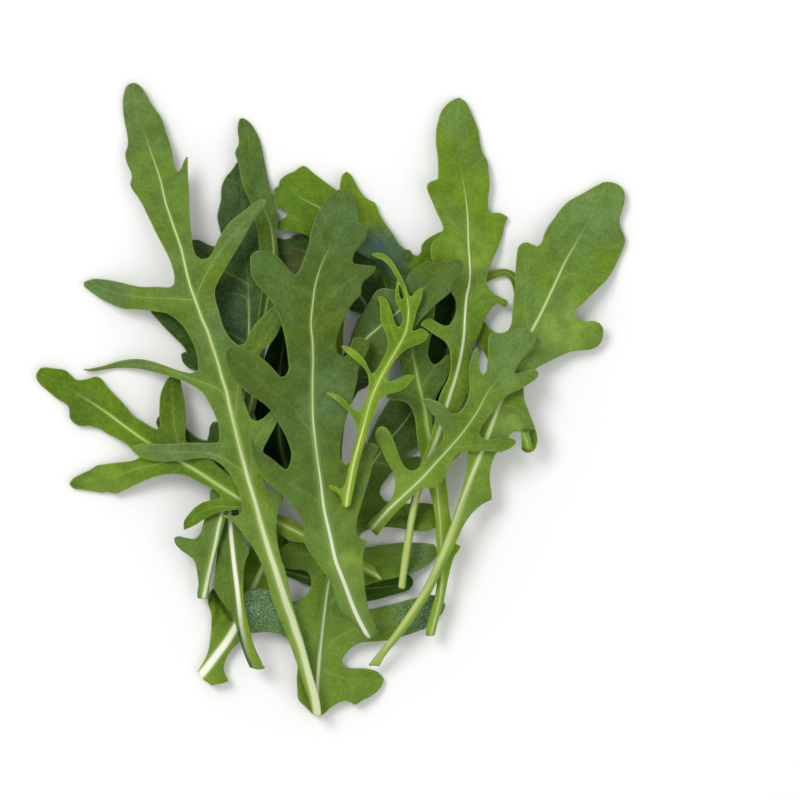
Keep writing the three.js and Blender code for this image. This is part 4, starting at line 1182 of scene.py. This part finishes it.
LEAVES = (
    Leaf(
        "leaf_low_cross", Tone.SHADE,
        "413,581 401,584 385,587 366,588 345,587 325,583 306,577 288,572 272,568",
        stem=1.3, breadth=1.3, heart=0.4, heart_midway=0.25, cream=0.5, pale=0.9, light=1.4,
    ),
    Leaf(
        "leaf_foot_left", Tone.FRESH,
        "284,521 271,550 259,575 248,600 242,615 236,626 227,641 217,654.5 209,665 200,676",
        stem=1.9, breadth=2.4, heart=1.5, heart_midway=1.1, cream=1.0, foot_cream=1.0, white=1.0,
        foot=0.5, light=0.95, veined=0.1,
        folds="213,592 215,606 213,622 0.4 0.6",
        # the dark spot and the crease line paint the shade where the left margin curls over
        spots="""dark 213,596 16 0.6; dull 216,660 24 0.6; dull 232,640 20 0.6;
        olive 206,640 12 0.4; seam 212,590 221,604 231,620 3.5 0.8;
        pale 205,646 214,630 224,616 3 0.35""",
    ),
    Leaf(
        "leaf_bottom_broad", Tone.DEEP,
        """430,391 413,410 403,424 392,437 380,453 368,471 355,497 343,527 334,556 328.7,583 325,609
        321,642 318,676 317,696 317.5,716""",
        """321,645 308,629 300,624 276,613 253,601;
        318,660 328,647 339.5,636 356,628 385,622 415,612 438,604;
        325,609 340,592 360,575 390,560 430,552; 343,530 365,520 395,515 430,514;
        318,668 335,675 355,680 375,678; 332,562 315,556 298,553 282,555;
        377,462 392,466 408,468 426,466""",
        breadth=1.9, heart=0.9, cream=0.7, foot_cream=0.95, bare=0.0, white=0.2, pale=0.8,
        light=1.19, veined=0.9,
        # the dark spots paint the shade under the leaves over it; the wet and blue spots are wet,
        # with a painted bluish sheen and glints
        spots="""wet 262,606 46 0.8; wet 424,612 44 0.8; blue 266,606 26 0.4; wet 420,556 26 0.4;
        dark 293,562 30 0.45; dark 398,428 52 0.9; dark 372,478 34 0.7; dark 400,520 44 0.5;
        dull 332,610 26 0.5; dull 300,650 26 0.4; olive 376,662 22 0.5; dark 372,652 14 0.3""",
    ),
    Leaf(
        "leaf_shade_middle", Tone.SHADE,
        """286,322 284,340 281,360 279,390 279,420 281,447 287,468 297,488 308,508 317,530 324,555
        330,575""",
        # its low light paints the shade of the deep gap it fills
        stem=1.5, breadth=1.6, heart=0.4, heart_midway=0.3, cream=0.35, light=0.52,
    ),
    Leaf(
        "leaf_shade_right", Tone.SHADE,
        "458,286 455,305 451,330 447,355 444,382 443,408 443,432 441,450 438,466",
        stem=1.4, breadth=1.5, heart=0.4, heart_midway=0.3, cream=0.35,
    ),
    Leaf(
        "leaf_shade_upper", Tone.DEEP,
        """270,243 280,244 292,247 306,252 322,261 338,273 352,287 363,300 371,315 374,331 371,347
        364,362 355,376 347,392 341,410 338,432 337,458 340,486 345,515 350,542""",
        stem=1.5, breadth=1.6, heart=0.4, heart_midway=0.3, cream=0.6, spots="brown 297,263 20 0.7",
    ),
    Leaf(
        "leaf_left_inner", Tone.DEEP,
        """238,161 240,180 242,205 243,238 247,268 249,300 249,335 247,370 244,400 240,430 236,460
        232,490 230,512 231,530 233,550 235,567 239,598 240.4,610 241.8,620 243.3,630 246,641
        249,652 253,662 257,670""",
        """249,285 238,278 225,271 205,258 192,250; 249,308 246,298 240,295 225,293;
        248,345 225,330 200,320 175,315 158,312; 245,400 225,396 205,383 190,364;
        240,440 220,452 195,447 170,428""",
        stem=2.0, heart=1.1, heart_midway=0.5, cream=0.95, foot_cream=0.1, cream_from=0.16,
        bare=0.225, white=0.9, foot=0.55, light=1.05, veined=0.9,
        folds="241,622 246,642 252,668 -0.35 0.5; 251,630 257,650 263,668 0.3 0.5",
        # along its folded foot the crease line paints shade and the steel streak a painted
        # blue-green glint
        spots="""rind 243.5,588 244.8,610 247,627 251.5,646 259.5,671 5.2 0.95;
        pale 249,600 254,640 264,668 2.2 0.5; seam 239,632 243,648 248,660 252,668 2.6 0.8;
        steel 239,628 240.5,638 242,644 2.2 0.6; blue 226,312 40 0.4; wet 226,318 30 0.3;
        blue 228,225 50 0.3; olive 250,610 26 0.4""",
    ),
    Leaf(
        "leaf_hooked", Tone.FRESH,
        """477,281 488,277 497,273.5 505,272 513,277 518,287 519.5,302 518,320 512,337 504,351
        497,366 489,388 480,410 468,430 455,448 442,464""",
        stem=1.4, breadth=1.4, heart=0.4, heart_midway=0.25, cream=0.3, light=1.05, veined=0.2,
        spots="olive 490,345 40 0.5",
    ),
    Leaf(
        "leaf_upper_narrow", Tone.GREY,
        """243,118 247,133 249,150 251,165 254,178 258,192 262,205 266,213 270,223 272,232 273.5,245
        274,256 272,275 268,300 264,322 260,345 257,370 254,390 251,405 247,420 242,440 237,460
        231,480 226,498 222,515 219,527 216.5,540 213.5,553 210.5,567 207,583 203.5,599""",
        "207,585 198,565 188,548 177,540",
        stem=1.9, breadth=1.9, heart=0.9, heart_midway=0.32, cream=0.8, foot_cream=0.95, bare=0.16,
        white=0.4, white_to=0.2, foot=0.1, light=1.18,
    ),
    Leaf(
        "leaf_top_round", Tone.FRESH,
        """274,192 286,188 300,197 310,203 321,209 329,222 334,240 336,265 336,290 335,320 334,350
        333,380 332,410 332,436""",
        stem=1.5, breadth=1.5, heart=0.4, heart_midway=0.3, cream=0.45, veined=0.45,
        spots="olive 303,178 16 0.4",
    ),
    Leaf(
        "leaf_inner_folded", Tone.FRESH,
        """347,171.5 353,190 361,208 372,226 385,243 396,259 404,277 409,300 411,325 412,352 416,370
        419,385 422,397 425,410 427,425 430,441 433,460 436,480 438.5,500 440.5,520 441.5,543
        442,570 440.5,593 436.5,612 430.5,636""",
        """404,277 420,268 438,250 450,236; 423,402 410,394 399,394 389,397;
        413,356 402,372 396,384; 420,388 432,372 441,356""",
        stem=1.9, breadth=1.9, heart=0.7, heart_midway=0.42, cream_from=0.5, bare=0.36, foot=0.8,
        light=1.04, veined=0.45,
        # where the leaf folds under the others, the dark, dull, blue and steel spots and the crease
        # line paint its shade
        spots="""fresh 362,212 44 0.7; olive 364,218 14 0.4; dull 388,252 34 0.95;
        blue 376,240 22 0.9; blue 388,250 24 0.9; dark 384,274 24 1.0; dark 398,284 26 1.0;
        dull 412,330 56 0.8; dull 420,385 62 0.85; dark 436,372 20 0.3; dark 402,350 20 0.4;
        dull 432,430 26 0.5; steel 364,246 378,252 392,266 16 0.85;
        steel 396,262 402,274 408,290 13 0.6; brown 376,232 12 0.8; dark 407,257 10 0.8;
        seam 352,254 366,259 378,264 385,276 389,290 7 0.95; fresh 386,228 396,243 403,253 3 0.8""",
    ),
    Leaf(
        "leaf_left_low", Tone.FRESH,
        """37,373 58,381 83,397 106,412 126,427 149,443 163,451 179,460 199,472 219,485 241,499
        260,511 280,523 302,534 322,544 342,555 360,565 372,572 382,578.5""",
        """176,459 158,464 136,469 113,477 91,480 76,484; 188,467 178,440 173,410 172,385;
        262,512 238,507 215,507 198,514 188,525""",
        stem=1.6, breadth=1.6, heart=0.65, heart_midway=0.5, cream=0.75, foot_cream=0.8, bare=0.1,
        light=0.88, veined=0.7,
        # its dark spot is painted shade
        spots="""olive 172,424 40 0.85; dark 172,388 22 0.45; pale 110,480 50 0.25;
        olive 148,450 30 0.35""",
    ),
    Leaf(
        "leaf_right_tall", Tone.MID,
        """459,98 457,115 458,140 460,160 462,175 464,187 466,200 467.5,215 468,230 468.5,247
        469.5,260 470,273 469,285 466.5,297 465,315 464,335 462,350 459,365 455,380 451,392 446,408
        441,426 435,443 428,460 421,478 415.5,498 411,520 407.5,545 404,568 401.5,588.5""",
        """467,240 452,222 440,208 432,190; 469,262 480,238 492,225 503,218;
        467,297 480,300 495,302 505,305; 460,365 455,345 442,332 428,325""",
        stem=1.5, breadth=1.9, heart=1.3, heart_midway=0.48, cream=0.95, foot_cream=0.8,
        cream_from=0.5, bare=0.14, white=0.6, white_to=0.75, straw=0.8, warm=0.6, light=1.1,
        veined=0.2, spots="bloom 456,118 30 0.45; olive 474,145 22 0.3; pale 470,250 40 0.25",
    ),
    Leaf(
        "leaf_right_broad", Tone.MID,
        """606,182 597,204 588,222 582,232 575,245 566,260 558,277 550,294 541,313 531,332 524,346
        516,364 508,382 500,402 493,421 486,440 478,460 470,480 462,502 454,526 447,543 439,561
        427,586 417,602 406,618 389,641 374,665.5""",
        """530,336 526,318 524,305 526,285 529,262; 521,368 530,352 545,342 560,338 575,337 592,335;
        498,410 506,405 516,408 524,416 530,428; 503,396 512,397 520,398 528,404""",
        stem=2.0, breadth=2.6, heart=1.9, heart_midway=0.8, foot_cream=0.7, cream_from=0.5,
        bare=0.08, white=0.2, straw=0.75, light=1.13, veined=0.5,
        folds="""517,430 523,428 530,427.5 535,430 0.55 0.4; 525,434 527,442 529,451 0.35 0.35;
        531,434 533,440 532.5,448 -0.5 0.35""",
        # on the curled lobe tip the dark stripes and the crease line paint shade, and the pale
        # stripes its paler underside with painted light on its ridges
        spots="""bloom 596,210 48 0.5; olive 508,398 20 0.7; pale 512,425 18 0.2;
        pale 566,326 40 0.3; olive 534,432 535.5,438 534,446 4.5 1.0;
        dark 530.5,431 531.5,436 533,442 2.2 0.9; pale 523.5,434 526,440 529,450 2.4 0.7;
        pale 527.5,433 529,440 531.5,448 1.7 0.55; dark 523,430.6 528,430.3 533,431.5 1.8 1.0;
        olive 521,438 522,445 524,450 2.4 0.8; seam 521,448.5 525,450 530,450.5 1.6 0.7""",
    ),
    Leaf(
        "leaf_cross_blade", Tone.GREY,
        """463,262 440,275 425,287 399,311 382,325 366,339 353,354 343,370 334,390 328,412 325,440
        325,470 327,500 331,530 337,556 342,576""",
        stem=1.3, breadth=1.4, heart=0.6, cream=0.8, bare=0.1, spots="bloom 380,312 40 0.5",
    ),
    Leaf(
        "leaf_diagonal", Tone.MID,
        """529.5,330.5 520,345 510,360 499,376 487,393 478,410 466,428 452,445 436.5,462 421,479
        405,494 389,509 370.5,530""",
        """478,412 473,395 473,375 476,355; 488,394 505,385 520,376 532,372;
        476,414 460,412 445,408 430,402; 447,450 465,446 490,444 508,441;
        405,494 402,475 393,455 384,436""",
        stem=2.0, breadth=1.5, heart=0.85, heart_midway=0.2, foot_cream=0.85, bare=0.22, white=0.2,
        light=1.08, veined=0.3,
        # its dark spot is painted shade
        spots="""bloom 500,358 52 0.45; bloom 432,412 28 0.5; olive 470,425 26 0.4;
        olive 500,442 24 0.4; dark 478,436 14 0.2""",
    ),
    Leaf(
        "leaf_left_large", Tone.MID,
        """133,83 136,110 141,125 147,140 151,152 155,163 160,178 163,190 166,203 170,215 173,224
        178,238 182,250 185,263 188,276 191,287 195,298 199,309 203,320 208,331 212,343 216,355
        220,368 223,379 227,391 230,405 234,421 238,437 242,453 246,468 249,480 253,493 257,507
        261,522 265.5,537 270,552 275,567 279,580 283,592 287,604 292,617 296,630 301,644 305,658
        309.5,674 313,687 316,699 318,716""",
        """195,300 175,299 155,298 135,296.5 112,292 95,285;
        196,298 208,272 218,256 232,237 248,220 260,207;
        236,415 240,380 252,356 266,338 278,320 284,308;
        229,398 217,388 205,383 190,378 165,369 130,365 105,367;
        246,472 236,466 222,457 200,452 170,452 145,449; 250,480 255,445 263,430 274,417;
        262,525 268,505 276,496""",
        stem=2.3, breadth=3.2, heart=1.8, heart_midway=0.6, cream=0.9, foot_cream=0.85, white=0.6,
        white_to=0.35, straw=0.2, foot=0.65, warm=0.42, veined=0.7,
        spots="""bloom 133,102 40 0.5; bloom 246,222 40 0.5; bloom 104,288 44 0.5;
        bloom 212,335 36 0.5; bloom 178,452 56 0.7; bloom 120,364 46 0.6; olive 212,284 28 0.8;
        olive 262,330 30 0.5; olive 168,215 26 0.35; olive 242,456 26 0.5; olive 186,320 26 0.4""",
    ),
    Leaf(
        "leaf_centre_large", Tone.GREY,
        """343,189.5 338,215 331,240 329,250 325,258 321,267 318,277 315,289 313.5,301 312,315
        311.5,326 313,342 313.5,360 313,380 313,400 313.5,420 315.4,439 318,460 321,481 324.6,509
        330.4,534.6 336,559.5 341,573 346,586 351,600 356,612.5 363,627 369,638""",
        """315,296 302,290 285,283 268,268 258,258; 316,445 300,415 280,396 262,382 245,366 234,355;
        323,505 306,492 290,483 274,470 262,455 254,443; 322,266 335,248 350,238 363,232;
        313,325 328,300 345,285 362,273; 329,528 340,505 350,485 358,462 368,450;
        314,398 330,380 345,364 358,350 366,342""",
        stem=2.2, breadth=2.4, heart=0.85, cream=0.9, foot_cream=1.0, bare=0.1, white=0.74,
        white_to=0.35, veined=0.3,
        # its dark spot is painted shade
        spots="""bloom 340,225 50 0.35; bloom 325,398 44 0.4; olive 326,325 50 0.6;
        olive 338,430 26 0.5; olive 262,374 40 0.6; pale 346,566 24 0.4; dark 352,300 20 0.2;
        brown 356,265 8 0.6; brown 372,278 7 0.5""",
    ),
    Leaf(
        "leaf_small_bright", Tone.BRIGHT,
        """370.5,254.5 384,258 390.5,263 396.5,271 401.6,281 405,290 407.5,300 408.5,312 407.5,325
        405,334 401.6,341 396,351 390,361 385,370 380,379 375.5,389 371,400 367,414 362.5,431
        358.5,445 355,458 352,471 350,483 348,494 346.5,507""",
        """408,318 412,302 420,291; 400,345 412,338 424,335; 381,378 395,382 408,378;
        398,346 390,325 384,308 380,299; 378,384 368,365 356,353 346,348;
        366,418 356,408 345,399 332,393""",
        stem=1.9, breadth=2.2, heart=0.6, heart_midway=0.26, foot_cream=0.9, bare=0.15, foot=0.5,
        veined=0.35, wave=0.1,
        spots="pale 346,350 14 0.4; pale 334,394 14 0.4; pale 386,268 14 0.3; olive 402,352 16 0.4",
    ),
)


@dataclass(frozen=True)
class Lamp:
    """A square lamp that looks at the bunch: its power in watts, its side and where it hangs."""

    name: str
    power: float
    side: float
    place: tuple[float, float, float]

    def hang(self) -> None:
        """Adds the lamp."""
        lamp = bpy.data.lights.new(self.name, "AREA")
        lamp.energy, lamp.size = self.power, self.side
        holder = bpy.data.objects.new(self.name, lamp)
        holder.location = self.place
        holder.rotation_euler = (-Vector(self.place)).to_track_quat("-Z", "Y").to_euler()
        bpy.context.scene.collection.objects.link(holder)


@dataclass
class Studio:
    """The pale table, the soft lights and the camera straight above."""

    table_side: float = 4.0
    table_drop: float = 0.0002
    camera_height: float = 2.6
    sensor: float = 36.0
    sky: float = 0.62
    lamps: tuple[Lamp, ...] = (
        Lamp("key", 20.0, 0.9, (-0.9, 0.8, 1.6)), Lamp("fill", 6.0, 1.4, (1.1, -0.6, 1.5)),
    )

    def lay_table(self) -> None:
        """Adds the table top just under the bunch."""
        bpy.ops.object.select_all(action="DESELECT")
        bpy.ops.mesh.primitive_plane_add(size=self.table_side, location=(0, 0, -self.table_drop))
        table = bpy.context.object
        table.name = "table_top"
        bpy.ops.object.transform_apply(location=True, rotation=True, scale=True)
        white = {"Base Color": (0.93, 0.93, 0.92, 1), "Roughness": 0.8}
        table.data.materials.append(NodeBoard("table_white").finish(white))

    def light_room(self) -> None:
        """Adds the lamps and an even pale sky."""
        for lamp in self.lamps:
            lamp.hang()
        world = bpy.data.worlds.new("room")
        world.use_nodes = True
        background = world.node_tree.nodes["Background"]
        background.inputs["Color"].default_value = (1, 1, 1, 1)
        background.inputs["Strength"].default_value = self.sky
        bpy.context.scene.world = world

    def hang_camera(self) -> None:
        """Hangs the camera straight above the picture's middle."""
        lens = bpy.data.cameras.new("camera")
        lens.sensor_width = self.sensor
        lens.lens = self.sensor * self.camera_height / (PICTURE_SIDE * PIXEL)
        lens.clip_start, lens.clip_end = 0.1, 20
        camera = bpy.data.objects.new("camera", lens)
        middle = plan_points([f"{PICTURE_SIDE / 2},{PICTURE_SIDE / 2}"])[0]
        camera.location = (*middle, self.camera_height)
        bpy.context.scene.collection.objects.link(camera)
        bpy.context.scene.camera = camera

    def build(self) -> None:
        """Sets up the whole studio."""
        self.lay_table()
        self.light_room()
        self.hang_camera()
        bpy.context.scene.view_settings.view_transform = "Standard"
        log.info("studio: table, lamps and camera")


def write_sizes() -> None:
    """Brings the placements of the scene's objects up to date."""
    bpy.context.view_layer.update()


def main() -> None:
    """Builds the leaves from the lowest up, then the studio."""
    logging.basicConfig(level=logging.INFO, format="%(message)s")
    for seed, leaf in enumerate(LEAVES, FIRST_SEED):
        leaf.build(seed)
    Studio().build()
    write_sizes()


if __name__ == "__main__":
    main()
